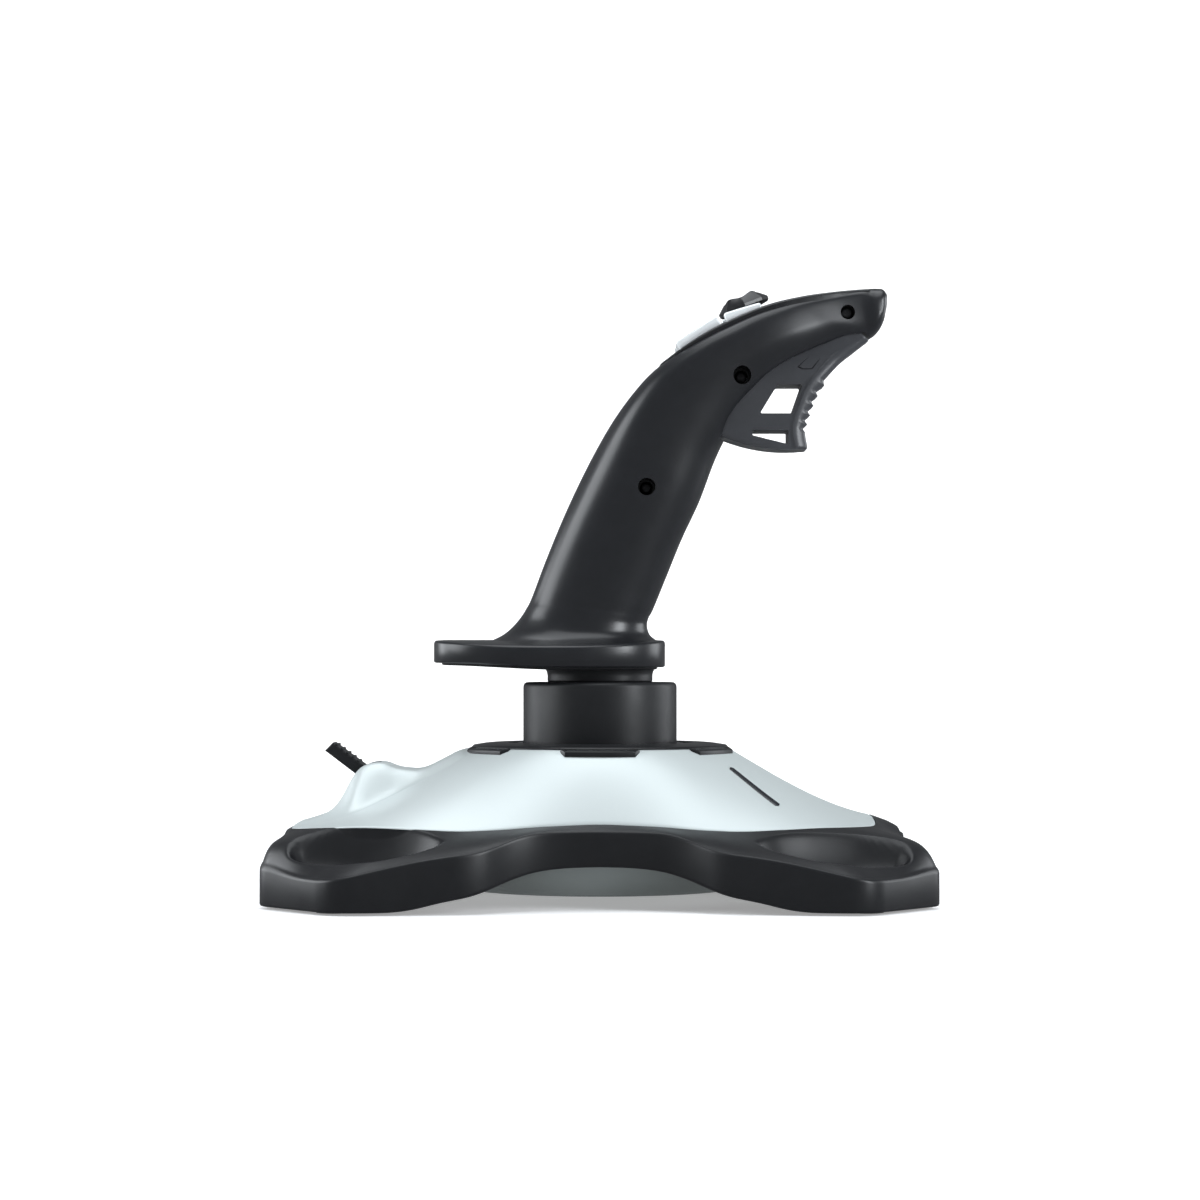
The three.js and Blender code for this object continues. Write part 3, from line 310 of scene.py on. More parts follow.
def slab(name, outline, low, high, bevel=0.0, matrix=None, steps=3, holes=()):
    """An outline of (u, v) points extruded along w from low to high, its edges bevelled."""
    curve = bpy.data.curves.new(name, "CURVE")
    curve.dimensions = "2D"
    curve.fill_mode = "BOTH"
    for loop in (outline, *holes):
        spline = curve.splines.new("POLY")
        spline.points.add(len(loop) - 1)
        for point, (u, v) in zip(spline.points, loop):
            point.co = (u, v, 0, 1)
        spline.use_cyclic_u = True
    curve.extrude = (high - low) / 2 - bevel
    curve.bevel_depth = bevel
    curve.bevel_resolution = steps
    curve.offset = -bevel
    holder = linked(name, curve)
    mesh = bpy.data.meshes.new_from_object(holder.evaluated_get(bpy.context.evaluated_depsgraph_get()))
    bpy.data.objects.remove(holder)
    mesh.transform(Matrix.Translation((0, 0, (low + high) / 2)))
    if matrix is not None:
        mesh.transform(matrix)
    clean(mesh)
    return linked(name, mesh)


def ball_box(name, size, bevel, matrix, crown=0.0, steps=3):
    """A box of size (x, y, z) standing on z = 0, with round edges and a slightly crowned top."""
    shape = bmesh.new()
    bmesh.ops.create_cube(shape, size=1)
    for vert in shape.verts:
        vert.co = Vector((vert.co.x * size[0], vert.co.y * size[1], (vert.co.z + 0.5) * size[2]))
    bmesh.ops.bevel(shape, geom=list(shape.edges), offset=bevel, segments=steps, profile=0.5, affect="EDGES")
    if crown:
        tops = [f for f in shape.faces if f.normal.z > 0.95]
        edges = list({e for f in tops for e in f.edges if e.calc_length() > 2})
        bmesh.ops.subdivide_edges(shape, edges=edges, cuts=6, use_grid_fill=True)
        for vert in shape.verts:
            if vert.co.z > size[2] * 0.5:
                u, v = 2 * vert.co.x / size[0], 2 * vert.co.y / size[1]
                vert.co.z += crown * (1 - min(1, u * u)) * (1 - min(1, v * v))
    mesh = mesh_of(name, shape)
    mesh.transform(matrix)
    return linked(name, mesh)


def settle(obj):
    """Applies an object's modifiers to its mesh."""
    graph = bpy.context.evaluated_depsgraph_get()
    graph.update()
    mesh = bpy.data.meshes.new_from_object(obj.evaluated_get(graph))
    obj.modifiers.clear()
    obj.data = mesh


def carve(obj, *cutters, operation="DIFFERENCE"):
    """Cuts shapes out of an object, or adds them to it, and removes them."""
    for cutter in cutters:
        modifier = obj.modifiers.new("carve", "BOOLEAN")
        modifier.object = cutter
        modifier.operation = operation
        modifier.solver = "EXACT"
        settle(obj)
        bpy.data.objects.remove(cutter)
    return obj


def join(name, *objects):
    """Several meshes as one object, left as separate shells."""
    shape = bmesh.new()
    for obj in objects:
        shape.from_mesh(obj.data)
    mesh = mesh_of(name, shape)
    for obj in objects:
        bpy.data.objects.remove(obj)
    return linked(name, mesh)


def to_metres(obj, body, look, slot, *nodes, sharp=38):
    """Finishes a piece: metres, shading, material, the body it rides on and the CAD nodes it stands for."""
    obj.data.transform(Matrix.Scale(MM, 4))
    smooth_mesh(obj.data, sharp)
    obj.data.materials.clear()
    obj.data.materials.append(look)
    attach(obj, body)
    if nodes:
        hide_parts(*nodes)


def smoothstep(t):
    t = np.clip(t, 0, 1)
    return t * t * (3 - 2 * t)


def box_mm(node):
    low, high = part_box(node)
    return np.array(low) / MM, np.array(high) / MM


# ---- base outlines
FOOT_HEIGHT = 1.0
RIM_TOP = 12.0
END_ARCH = {"lift": 15.0, "front": 16.3, "rear": 14.8}
CROWN_Z, CROWN_R, SHOULDER = 58.0, 49.0, 0.6
SEAM_GAP = 0.2
EDGE_ROUND = 1.3
FRAME_CORNERS = [
    (30, 113.5, 20), (56.5, 126.6, 7), (95, 97, 9), (89, 45.5, 8), (71, 23, 16),
    (71, -23, 16), (89, -45.5, 8), (95, -97, 9), (56.5, -126.6, 7), (30, -119.5, 18),
]
SEAM_CORNERS = [(44, 104, 22), (69, 52, 25), (65, 0, 26), (69, -52, 25), (57, -100, 12), (40, -115.8, 10.5)]
# Heights along Y of the seam between dome and frame, of the frame's top edge and of its lower edge.
SEAM_HEIGHTS = [
    (-116, 28.6), (-104, 29.6), (-92, 30.3), (-81, 30.3), (-66, 29.6), (-51, 28.9), (-36, 29.6), (-22, 30.7),
    (0, 31.7), (22, 30.7), (36, 29.5), (51, 28.8), (64, 29.3), (80, 29.8), (104, 29.5),
]
EDGE_HEIGHTS = [
    (0, 28.5), (24, 28.4), (29, 27.2), (36, 24.2), (42, 21.8), (50, 21.3), (57, 20.4),
    (64, 19.3), (71, 17.9), (79, 16.1), (86, 14.4), (93, 12.8), (98, 12.2), (126, 11.7),
]
UNDER_HEIGHTS = [
    (0, 16.1), (14, 15.7), (22, 14.8), (29, 13.3), (36, 10.7), (45, 7.0), (50, 5.8), (57, 4.8), (64, 3.0),
    (71, 1.4), (77, 1.0),
]
# Rise of the mound round the throttle lever, along Y on the middle line.
MOUND_HEIGHTS = [
    (-118, 0.4), (-108, 1.5), (-104, 2), (-100, 4), (-98, 6.4), (-96.2, 9.5), (-94.2, 12.7), (-92.3, 14.9),
    (-88.5, 15.4), (-83, 13.7), (-77, 8.4), (-69, 3.5), (-65, 2.6), (-54, 2), (-49, 0), (0, 0),
]
# Half widths of the mound: its flat top, and its foot along Y. The foot closes in on the lever's
# forward side, which leaves a hollow flank there.
MOUND_FLAT = 13.5
MOUND_HALF = [(-120, 33), (-94, 33), (-85, 24.5), (-77, 21), (0, 21)]
HOLLOW_RIM = [
    (86.2, 84), (83.5, 93.6), (77.8, 101.2), (71.7, 109), (66.6, 113.2), (62.5, 112.2), (59, 108), (57.6, 98),
    (59.2, 87), (62.6, 75), (67, 66), (72, 60), (76.3, 57.6), (80.4, 60), (84, 66), (86, 75),
]
HOLLOW_FLOOR = 13.0


def rounded_loop(half, arc_steps, line_step):
    """The closed outline, its corners rounded by quadratic curves; the left half mirrors the right."""
    corners = list(half) + [(-x, y, r) for x, y, r in reversed(half)]
    ends = []
    for i, (x, y, r) in enumerate(corners):
        here = np.array((x, y), float)
        towards = [np.array(corners[(i + k) % len(corners)][:2], float) - here for k in (-1, 1)]
        ends.append([here + t / np.linalg.norm(t) * r for t in towards] + [here])
    loop = []
    for i, (start, end, corner) in enumerate(ends):
        loop += bend(start, corner, end, np.linspace(0, 1, arc_steps, endpoint=False))
        onward = ends[(i + 1) % len(ends)][0]
        count = max(1, int(np.linalg.norm(onward - end) / line_step))
        loop += [end + (onward - end) * t for t in np.linspace(0, 1, count, endpoint=False)]
    return np.array(loop)


def polar(loop):
    """The outline's distance from the centre as a function of direction."""
    angle = np.arctan2(loop[:, 1], loop[:, 0])
    order = np.argsort(angle)
    angle, reach = angle[order], np.hypot(loop[:, 0], loop[:, 1])[order]
    return lambda a: np.interp(a, angle, reach, period=TAU)


frame_outline = rounded_loop(FRAME_CORNERS, 14, 1.5)
frame_reach = polar(frame_outline)
seam_reach = polar(rounded_loop(SEAM_CORNERS, 24, 1.0))
frame_angles = np.arctan2(frame_outline[:, 1], frame_outline[:, 0])


def eased(table, y, reach):
    """A height table read at y, its corners eased over a reach to each side."""
    at, height = zip(*table)
    return sum(np.interp(y + d * reach, at, height) for d in (-1, -0.5, 0, 0.5, 1)) / 5


def end_arch(x):
    return 1 - smoothstep((np.abs(x) - 12) / 30)


def seam_height(angle):
    reach = seam_reach(angle)
    x, y = reach * np.cos(angle), reach * np.sin(angle)
    middle = 1 - smoothstep((np.abs(x) - 6) / 32)
    front = np.where(y > 0, 2.4, 0) * middle * smoothstep((np.abs(y) - 70) / 25)
    return eased(SEAM_HEIGHTS, y, 5) + front


def edge_height(x, y):
    rise = np.where(y > 0, END_ARCH["front"], END_ARCH["rear"])
    return np.maximum(eased(EDGE_HEIGHTS, np.abs(y), 5), RIM_TOP + rise * end_arch(x))


def under_height(x, y):
    return np.maximum(eased(UNDER_HEIGHTS, np.abs(y), 5), FOOT_HEIGHT + END_ARCH["lift"] * end_arch(x))


def frame_height(angle, reach):
    """Height of the frame's top between the seam and its outer edge, before the hollows are scooped."""
    seam, rim = seam_reach(angle) + SEAM_GAP, frame_reach(angle)
    t = np.clip((reach - seam) / (rim - seam), 0, 1)
    x, y = rim * np.cos(angle), rim * np.sin(angle)
    endwards = smoothstep((np.abs(y / x) - 1.1) / 0.9)
    middle = end_arch(x) * endwards
    level = 0.8 - 0.42 * endwards + 0.4 * middle
    fall = level * t + (1 - level) * t ** (4 + 4 * endwards)
    top = seam_height(angle)
    return top - (top - edge_height(x, y) + 0.6 * middle) * fall


def dome_height(angle, radius):
    """Height of the silver dome's outer surface."""
    seam = seam_reach(angle) - SEAM_GAP
    run, drop = seam - CROWN_R, CROWN_Z - seam_height(angle)
    u = np.clip((radius - CROWN_R) / run, 0, 1)
    start = SHOULDER * run / drop
    fall = start * u + (1 - start) * u**2 + 0.3 * u**2 * (1 - u)
    x, y = radius * np.cos(angle), radius * np.sin(angle)
    across = (np.abs(x) - MOUND_FLAT) / (eased(MOUND_HALF, y, 2) - MOUND_FLAT)
    return CROWN_Z - drop * fall + eased(MOUND_HEIGHTS, y, 2) * (1 - smoothstep(across))


def outline_distance(x, y, outline):
    """Signed distance to a closed outline, positive inside."""
    start, end = outline, np.roll(outline, -1, axis=0)
    p = np.stack([x, y], -1)[:, None, :]
    edge = (end - start)[None]
    t = np.clip(((p - start[None]) * edge).sum(-1) / (edge**2).sum(-1), 0, 1)
    gap = np.linalg.norm(p - start[None] - t[..., None] * edge, axis=-1).min(1)
    above = (start[None, :, 1] > y[:, None]) != (end[None, :, 1] > y[:, None])
    rise = np.where(np.abs(edge[..., 1]) < 1e-9, 1e-9, edge[..., 1])
    crossing = start[None, :, 0] + (y[:, None] - start[None, :, 1]) / rise * edge[..., 0]
    inside = (above & (x[:, None] < crossing)).sum(1) % 2 == 1
    return np.where(inside, gap, -gap)


def span(a, b, c, d, count):
    """Points from b up to c on the Catmull-Rom curve through all four."""
    return [
        0.5 * (2 * b + (c - a) * t + (2 * a - 5 * b + 4 * c - d) * t**2 + (3 * b - a - 3 * c + d) * t**3)
        for t in np.linspace(0, 1, count, endpoint=False)
    ]


def closed_curve(points, per_span):
    """A closed Catmull-Rom curve through the points."""
    p = np.array(points, float)
    made = []
    for i in range(len(p)):
        made += span(*(p[(i + k) % len(p)] for k in (-1, 0, 1, 2)), per_span)
    return np.array(made)


def open_curve(rows, per_span):
    """A Catmull-Rom curve through rows of any width, with its end tangents kept."""
    p = np.array(rows, float)
    p = np.vstack([2 * p[0] - p[1], p, 2 * p[-1] - p[-2]])
    made = []
    for i in range(1, len(p) - 2):
        made += span(*p[i - 1:i + 3], per_span)
    return np.array([*made, p[-2]])


# ---- base pieces
frame_rim = np.hypot(frame_outline[:, 0], frame_outline[:, 1])
frame_under = under_height(frame_outline[:, 0], frame_outline[:, 1])


def ring(reach, z):
    """A loop that follows the frame's directions at given distances and heights."""
    radial = np.stack([np.cos(frame_angles), np.sin(frame_angles)], 1)
    return np.column_stack([radial * reach[:, None], np.broadcast_to(z, len(reach))])


def build_frame():
    """Black four-lobed frame with a scooped finger hollow in each lobe."""
    a, rim, under = frame_angles, frame_rim, frame_under
    seam = seam_reach(a) + SEAM_GAP
    hollow = closed_curve(HOLLOW_RIM, 10)

    def top(reach):
        x, y = reach * np.cos(a), reach * np.sin(a)
        z = frame_height(a, reach)
        inside = outline_distance(np.abs(x), np.abs(y), hollow)
        soft = (inside + np.sqrt(inside**2 + 0.9**2)) / 2 - 0.2
        width = 3.6 + 0.6 * np.clip(z - 17, 0, 12)
        scoop = 1 - (1 - np.clip(soft / width, 0, 1)) ** 2.2
        return np.stack([x, y, z - np.maximum(z - HOLLOW_FLOOR, 0) * scoop], 1)

    shoulder = top(rim - EDGE_ROUND)
    corner = ring(rim, shoulder[:, 2] + 0.35 * (frame_height(a, rim) - shoulder[:, 2]))
    wall = ring(rim, corner[:, 2] - EDGE_ROUND)
    rows = [ring(seam, frame_height(a, seam) - 3), ring(seam, frame_height(a, seam) - 0.45)]
    rows += [top(seam + 0.15) - (0, 0, 0.1)]
    rows += [top(seam + 0.4 + (rim - EDGE_ROUND - seam - 0.4) * t) for t in np.linspace(0, 1, 74)]
    rows += bend(shoulder, corner, wall, np.linspace(0.14, 1, 7))
    rows += [ring(rim, under + 0.9), ring(rim - 0.25, under + 0.25), ring(rim - 0.9, under)]
    rows += [ring(rim - 2.6, under), ring(rim - 2.6, under + 3)]
    made = loft("base_lobed_frame", rows, caps=False)
    to_metres(made, "base", BLACK_BASE, "black_gloss", "base_frame", sharp=50)


def dome_grid(angles, reaches):
    return around(reaches, angles, dome_height(angles, reaches))


BASE_BUTTON = {"length": 13.0, "width": 7.6, "proud": 1.8, "deep": 5.0}
KEY_GAP = 0.35


def standing(centre, normal):
    """The matrix that stands +Z along a normal, with +X level."""
    normal = Vector(normal).normalized()
    along = Vector((0, 0, 1)).cross(normal).normalized()
    across = normal.cross(along)
    turn = Matrix((along, across, normal)).transposed().to_4x4()
    return Matrix.Translation(centre) @ turn


def capsule_outline(length, width, grow, steps=14):
    half, r = (length - width) / 2, width / 2 + grow
    right = [(half + r * math.cos(t), r * math.sin(t)) for t in np.linspace(-QUARTER, QUARTER, steps)]
    return right + [(-x, -y) for x, y in right]


def button_place(node):
    """Centre and outward normal of a base button, from its CAD joint and box."""
    joint = next(j for j in frame["joints"] if j["child"] == node)
    normal = -Vector(joint["axis"]).normalized()
    low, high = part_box(node)
    middle = (low + high) / 2 / MM
    return middle - normal * (BASE_BUTTON["proud"] - BASE_BUTTON["deep"]) / 2, normal


def build_dome():
    """Silver dome with the throttle mound, button openings and the lever's slot."""
    a = np.linspace(-math.pi, math.pi, 420, endpoint=False)
    seam = seam_reach(a) - SEAM_GAP
    mouth = around(44, a, np.full(len(a), CROWN_Z))
    rows = [mouth - (0, 0, 3.0), mouth]
    rows += [dome_grid(a, CROWN_R + (seam - 0.5 - CROWN_R) * u) for u in np.linspace(0, 1, 90)]
    lip = dome_grid(a, seam)
    rows += [dome_grid(a, seam - 0.15) - (0, 0, 0.12), lip - (0, 0, 0.45), lip - (0, 0, 3.0)]
    rows += [dome_grid(a, CROWN_R - 2.2 + (seam - CROWN_R) * u) - (0, 0, 2.6) for u in np.linspace(1, 0, 30)]
    made = loft("base_dome", rows, closed=True)
    cutters = []
    for i in range(7, 13):
        centre, normal = button_place(f"base_button_{i}")
        outline = capsule_outline(BASE_BUTTON["length"], BASE_BUTTON["width"], KEY_GAP)
        cutters.append(slab("cut", outline, -9, 8, matrix=standing(centre, normal)))
    cutters.append(slab("cut", slot_outline(), -10.2, 10.2, matrix=TO_YZ))
    carve(made, *cutters)
    to_metres(made, "base", SILVER, "silver_shell", "base_top_cover", sharp=40)


# The throttle lever: its axis, its angle at rest, how far it swings, and its size.
THROTTLE = {"y": -80.0, "z": 40.8, "rest": 36.6, "swing": 22.0, "reach": 29.7, "drum": 6.8, "half": 9.5}


def slot_outline():
    """The lever's slot in the dome as seen from the side: a fan a little wider than its swing."""
    y, z, reach = THROTTLE["y"], THROTTLE["z"], 26
    low = math.radians(THROTTLE["rest"] - THROTTLE["swing"] - 11)
    high = math.radians(THROTTLE["rest"] + THROTTLE["swing"] + 11)
    fan = [(y - reach * math.cos(t), z + reach * math.sin(t)) for t in np.linspace(low, high, 12)]
    return [(y + 6, z - 6), *fan, (y - 1, z + 6)]


PAN_PROFILE = [
    (0, 4.0), (40, 4.0), (42, 4.9), (46, 4.9), (48, 4.0), (52.4, 4.0), (58.8, 12.5), (60, 17), (57.6, 17.2),
    (0, 17.2),
]
FOOT_PROFILE = [(0, 0), (4.2, 0), (4.8, 0.25), (5.6, 0.25), (6.2, 0), (7, 0), (7, 3.4), (0, 3.4)]


def build_underside():
    """Black cover inside the lobes, its screws, feet and the round silver pan."""
    under, outer = frame_under, frame_rim - 3.0
    inner, low_inner = np.full(len(outer), 61.0), FOOT_HEIGHT + 14.6
    rows = [ring(inner, low_inner + 2), ring(inner, low_inner)]
    for t in np.linspace(0.03, 1, 26):
        rows.append(ring(inner + (outer - inner) * t, low_inner + (under + 0.5 - low_inner) * smoothstep(t)))
    rows.append(ring(outer, under + 2.6))
    cover = loft("base_underside_cover", rows, caps=False)
    to_metres(cover, "base", BLACK_MATTE, "black_matte", "bottom_cover", sharp=35)

    pan = lathe("base_round_pan", rounded(PAN_PROFILE, [0.6, 0.5, 0.5, 0.6, 2.6, 5.0, 0.6, 0.6]), 160)
    to_metres(pan, "base", PAN_SILVER_PAINTED_SHADE, "pan_shell", "base_pan", sharp=35)

    for name in ("front_right", "front_left", "rear_right", "rear_left"):
        low, high = box_mm(f"rubber_foot_{name}")
        x, y, _ = (low + high) / 2
        foot = lathe(f"foot_pad_{name}", rounded(FOOT_PROFILE, [0.2, 0.2, 0.2, 0.2, 0.35, 0.2]), 64)
        foot.data.transform(at(x, y, low[2]))
        to_metres(foot, "base", RUBBER, "rubber", f"rubber_foot_{name}")
        low, high = box_mm(f"case_screw_{name}")
        x, y, _ = (low + high) / 2
        tall = 1.6
        head = cross_screw(f"case_screw_head_{name}", 1.8, tall)
        head.data.transform(at(x, y, low[2] + tall, math.pi))
        to_metres(head, "base", STEEL, "steel", f"case_screw_{name}", sharp=30)


def cross_screw(name, radius, height):
    """A pan-head screw with a cross recess, its head's underside at z = 0 and its shank below."""
    top = [(0, height), (radius * 0.7, height * 0.92), (radius, height * 0.45), (radius, 0)]
    shank = [(1.2, 0), (1.2, -3), (0, -3)]
    head = lathe(name, rounded(top + shank, [radius * 0.3, 0.3, 0.1, 0.1, 0.1]), 40)
    for turn in (0, QUARTER):
        size = (radius * 1.1, radius * 0.28, 1)
        carve(head, ball_box("cut", size, 0.01, at(0, 0, height * 0.45, turn, "Z"), steps=1))
    return head


def build_bezel():
    """Black ring round the collar's mouth, with clips that fold down the dome."""
    top, radius, hole = 60.0, 49.2, 35.5
    profile = [
        (hole, 46), (hole, top - 0.2), (hole + 1.4, top), (radius - 6, top - 0.15), (radius - 0.6, top - 1.0),
        (radius, top - 1.8), (radius - 0.4, 58.0), (hole + 3, 57.8), (hole + 3, 46),
    ]
    plate = lathe("bezel", rounded(profile, [0.8, 0.6, 2.0, 0.5, 0.5, 0.3, 0.3]), 240)
    outline = [(44, -15.5), (50.2, -15.5), (52.4, -13.2), (52.4, 13.2), (50.2, 15.5), (44, 15.5)]
    clips = []
    for i in range(6):
        clip = slab("clip", dense(outline, 1.2), 56.3, 58.4, 0.4)
        for vert in clip.data.vertices:
            reach, around = vert.co.x, math.asin(vert.co.y / 52.8)
            vert.co.z -= 0.25 * max(0.0, reach - 50.0) ** 1.5
            vert.co.x, vert.co.y = reach * math.cos(around), reach * math.sin(around)
        clip.data.transform(Matrix.Rotation(i * TAU / 6, 4, "Z"))
        clips.append(clip)
    whole = join("bezel_ring_and_clips", plate, *clips)
    to_metres(whole, "base", BLACK_BASE, "black_gloss", "bezel_ring", sharp=35)


def build_base_buttons():
    for i in range(7, 13):
        node = f"base_button_{i}"
        centre, normal = button_place(node)
        outline = capsule_outline(BASE_BUTTON["length"], BASE_BUTTON["width"], 0)
        low, high = -BASE_BUTTON["deep"], BASE_BUTTON["proud"]
        key = slab(f"base_key_{i}", outline, low, high, 0.7, standing(centre, normal), 4)
        to_metres(key, node, GREY, "dark_grey", node, sharp=35)


def build_throttle():
    reach, half, radius = THROTTLE["reach"], THROTTLE["half"], THROTTLE["drum"]
    side = [(-reach, -2.1), (-reach + 0.6, 2.2), (-10, 2.3), (-6, 2.3), (-6, -2.3), (-10, -2.3)]
    paddle = slab("paddle", side, -half + 0.9, half - 0.9, 0.7, TO_YZ, 3)
    drum = rod("drum", radius, half, 0.8, 72, at(0, 0, 0))
    rib_size = (2 * half - 1.2, 1.1, 0.9)
    ribs = [ball_box("rib", rib_size, 0.3, at(0, -reach + 2.2 + i * 2.6, 1.75)) for i in range(5)]
    lever = join("throttle_paddle", paddle, drum, *ribs)
    lever.data.transform(at(0, THROTTLE["y"], THROTTLE["z"], -math.radians(THROTTLE["rest"])))
    to_metres(lever, "throttle", BLACK_MATTE, "dark_grey", "throttle_lever", sharp=35)


# The inlay on the dome: its direction, where it begins and ends, its half width, and its section as
# fractions of that width with the lift off the dome.
BADGE = {"angle": math.radians(54.4), "near": 59.9, "far": 81.4, "half": 1.5}
BADGE_SECTION = [
    (-1, -0.5), (-1, 0.12), (-0.86, 0.26), (-0.4, 0.3), (0.4, 0.3), (0.86, 0.26), (1, 0.12), (1, -0.5),
]


def build_badge():
    """A slim glossy inlay running down the dome's right slope."""
    angle, near, far, half = BADGE.values()
    rows = []
    for s in np.linspace(-1, 1, 40):
        reach = (near + far) / 2 + s * (far - near) / 2
        width = half * math.sqrt(max(0.02, 1 - max(0, (abs(s) - 0.93) / 0.07) ** 2))
        section = []
        for v, lift in BADGE_SECTION:
            centre = np.array((reach * math.cos(angle), reach * math.sin(angle)))
            side = np.array((-math.sin(angle), math.cos(angle))) * v * width
            x, y = centre + side
            z = float(dome_height(np.arctan2(y, x), np.hypot(x, y)))
            section.append((x + lift * 0.4, y + lift * 0.45, z + lift * 0.8))
        rows.append(section)
    strip = loft("dome_inlay_strip", rows)
    to_metres(strip, "base", INLAY, "component_black", "badge_strip", sharp=50)


def build_grommet():
    low, high = box_mm("cable_grommet")
    y0, z = low[1], (low[2] + high[2]) / 2
    profile = [
        (1.9, 0), (3.9, 0), (3.9, 1.6), (3.2, 1.9), (3.2, 4.6), (3.7, 4.9), (3.7, 6.2), (3.0, 7.4),
        (1.9, 7.4),
    ]
    profile = rounded(profile + [profile[0]], [0.3, 0.3, 0.3, 0.3, 0.3, 0.4, 0.5, 0.4])[:-1]
    gland = lathe("cable_gland", profile, 56)
    gland.data.transform(at(0, y0, z, -QUARTER))
    to_metres(gland, "base", RUBBER, "rubber", "cable_grommet", sharp=40)


# ---- collar and neck
def build_collar():
    top, radius, foot = 83.0, 29.5, 56.6
    cup = lathe("collar", rounded([
        (5.4, top - 3), (5.4, top - 0.6), (20, top - 0.6), (21.4, top), (radius, top), (radius, foot),
        (radius - 2.4, foot), (radius - 2.4, top - 3),
    ], [0, 0.4, 0.4, 2.0, 0.6, 0.3, 0.6]), 160)
    to_metres(cup, "stick", BLACK_MATTE, "black_matte", "collar_cup", sharp=35)
    neck = lathe("neck", rounded([
        (5.6, 82.75), (19.5, 82.75), (20.2, 83.3), (20.2, 86.2), (21.2, 88.6), (21.2, 91), (5.6, 91),
    ], [0.5, 1.4, 1.0, 0.3]), 120)
    to_metres(neck, "handle", BLACK_MATTE, "black_matte", "twist_neck", sharp=35)


# ---- grip
# Sections of the grip: back y, z, front y, z, half width, roundness power and how far the front is
# drawn in towards the trigger.
GRIP = [
    (-46, 97.4, 25.6, 97.0, 26.5, 2.2, 0),
    (-41.2, 99.1, 21.9, 98.9, 22.4, 2.2, 0),
    (-36, 102, 19.1, 101.2, 20.1, 2.2, 0),
    (-31.4, 106.6, 18.1, 104.6, 18.9, 2.2, 0),
    (-28.2, 111.4, 18.7, 107.6, 18.4, 2.3, 0),
    (-26, 116, 20.4, 110.8, 18.3, 2.3, 0),
    (-20.4, 130.8, 24.8, 121.5, 18.9, 2.35, 0),
    (-12.7, 149.2, 31.4, 137.7, 20.1, 2.4, 0),
    (-3.8, 167.7, 38.2, 152.3, 21.2, 2.4, 0.03),
    (5, 183.1, 44, 167.7, 22, 2.4, 0.07),
    (13.9, 195.1, 49, 178, 22.6, 2.5, 0.11),
    (22, 203.2, 54.9, 187.9, 23, 2.6, 0.15),
    (33.4, 211, 62.6, 196.4, 23, 2.7, 0.19),
    (45.4, 217.6, 72.6, 203.2, 22.4, 2.8, 0.2),
    (59.4, 223.8, 82.6, 209.2, 20.6, 2.8, 0.19),
    (76.4, 228.8, 93.4, 213.8, 16.2, 2.6, 0.14),
    (90, 231.4, 99.6, 214.0, 12.9, 2.5, 0.07),
    (98.0, 232.9, 102.6, 214.5, 11.45, 2.6, 0.02),
    (102.0, 233.7, 104.4, 215.4, 11.15, 2.75, 0),
    (104.2, 234.1, 106.0, 216.6, 11.2, 2.9, 0),
    (106.4, 234.2, 107.6, 218.6, 10.9, 2.9, 0),
    (108.6, 233.9, 109.0, 221.6, 10.1, 2.8, 0),
    (110.0, 232.4, 109.8, 225.4, 8.2, 2.6, 0),
]


def grip_section(row, count):
    """One section as a loop of points, square-shouldered towards the back under the deck."""
    by, bz, fy, fz, half, power, nip = row
    turn = np.linspace(0, TAU, count, endpoint=False)
    c, s = np.cos(turn), np.sin(turn)
    under_deck = smoothstep((by + 10) / 44) * (1 - smoothstep((by - 92) / 13))
    nose = smoothstep((by - 48) / 28) * (1 - smoothstep((by - 98) / 8))
    powers = np.where(s < 0, power + 2.4 * under_deck + 2.6 * nose, power + 0.6 * under_deck)
    forward = np.sign(s) * np.abs(s) ** (2 / powers)
    drawn = (1 - nip * smoothstep((forward + 0.2) / 1.1)) * (1 + nose * (0.03 - 0.065 * (forward + 1)))
    x = half * drawn * np.sign(c) * np.abs(c) ** (2 / powers)
    y, z = (by + fy) / 2 + (fy - by) / 2 * forward, (bz + fz) / 2 + (fz - bz) / 2 * forward
    return np.stack([x, y, z], 1)


DECK_LINE = [
    (21.4, 203.6), (25, 206.4), (34, 212.9), (45.7, 219.7), (62.6, 226.9), (76.9, 230.6), (90, 232.7),
    (98, 233.6), (103.4, 234.0),
]
deck_points = open_curve(DECK_LINE, 24)


def deck_place(x, y, sink=0.0, tip=0.0):
    """The matrix of a place on the deck: +Z along the deck's normal, +Y along the deck."""
    i = int(np.clip(np.searchsorted(deck_points[:, 0], y), 1, len(deck_points) - 2))
    t = (y - deck_points[i - 1, 0]) / (deck_points[i, 0] - deck_points[i - 1, 0])
    z = deck_points[i - 1, 1] + t * (deck_points[i, 1] - deck_points[i - 1, 1])
    run = deck_points[i + 1] - deck_points[i - 1]
    lean = math.atan2(run[1], run[0])
    sunk = Vector((x, y + sink * math.sin(lean), z - sink * math.cos(lean)))
    return Matrix.Translation(sunk) @ Matrix.Rotation(lean + tip, 4, "X")


TRIGGER_HALF, TRIGGER_TOP_HALF = 11.4, 8.6
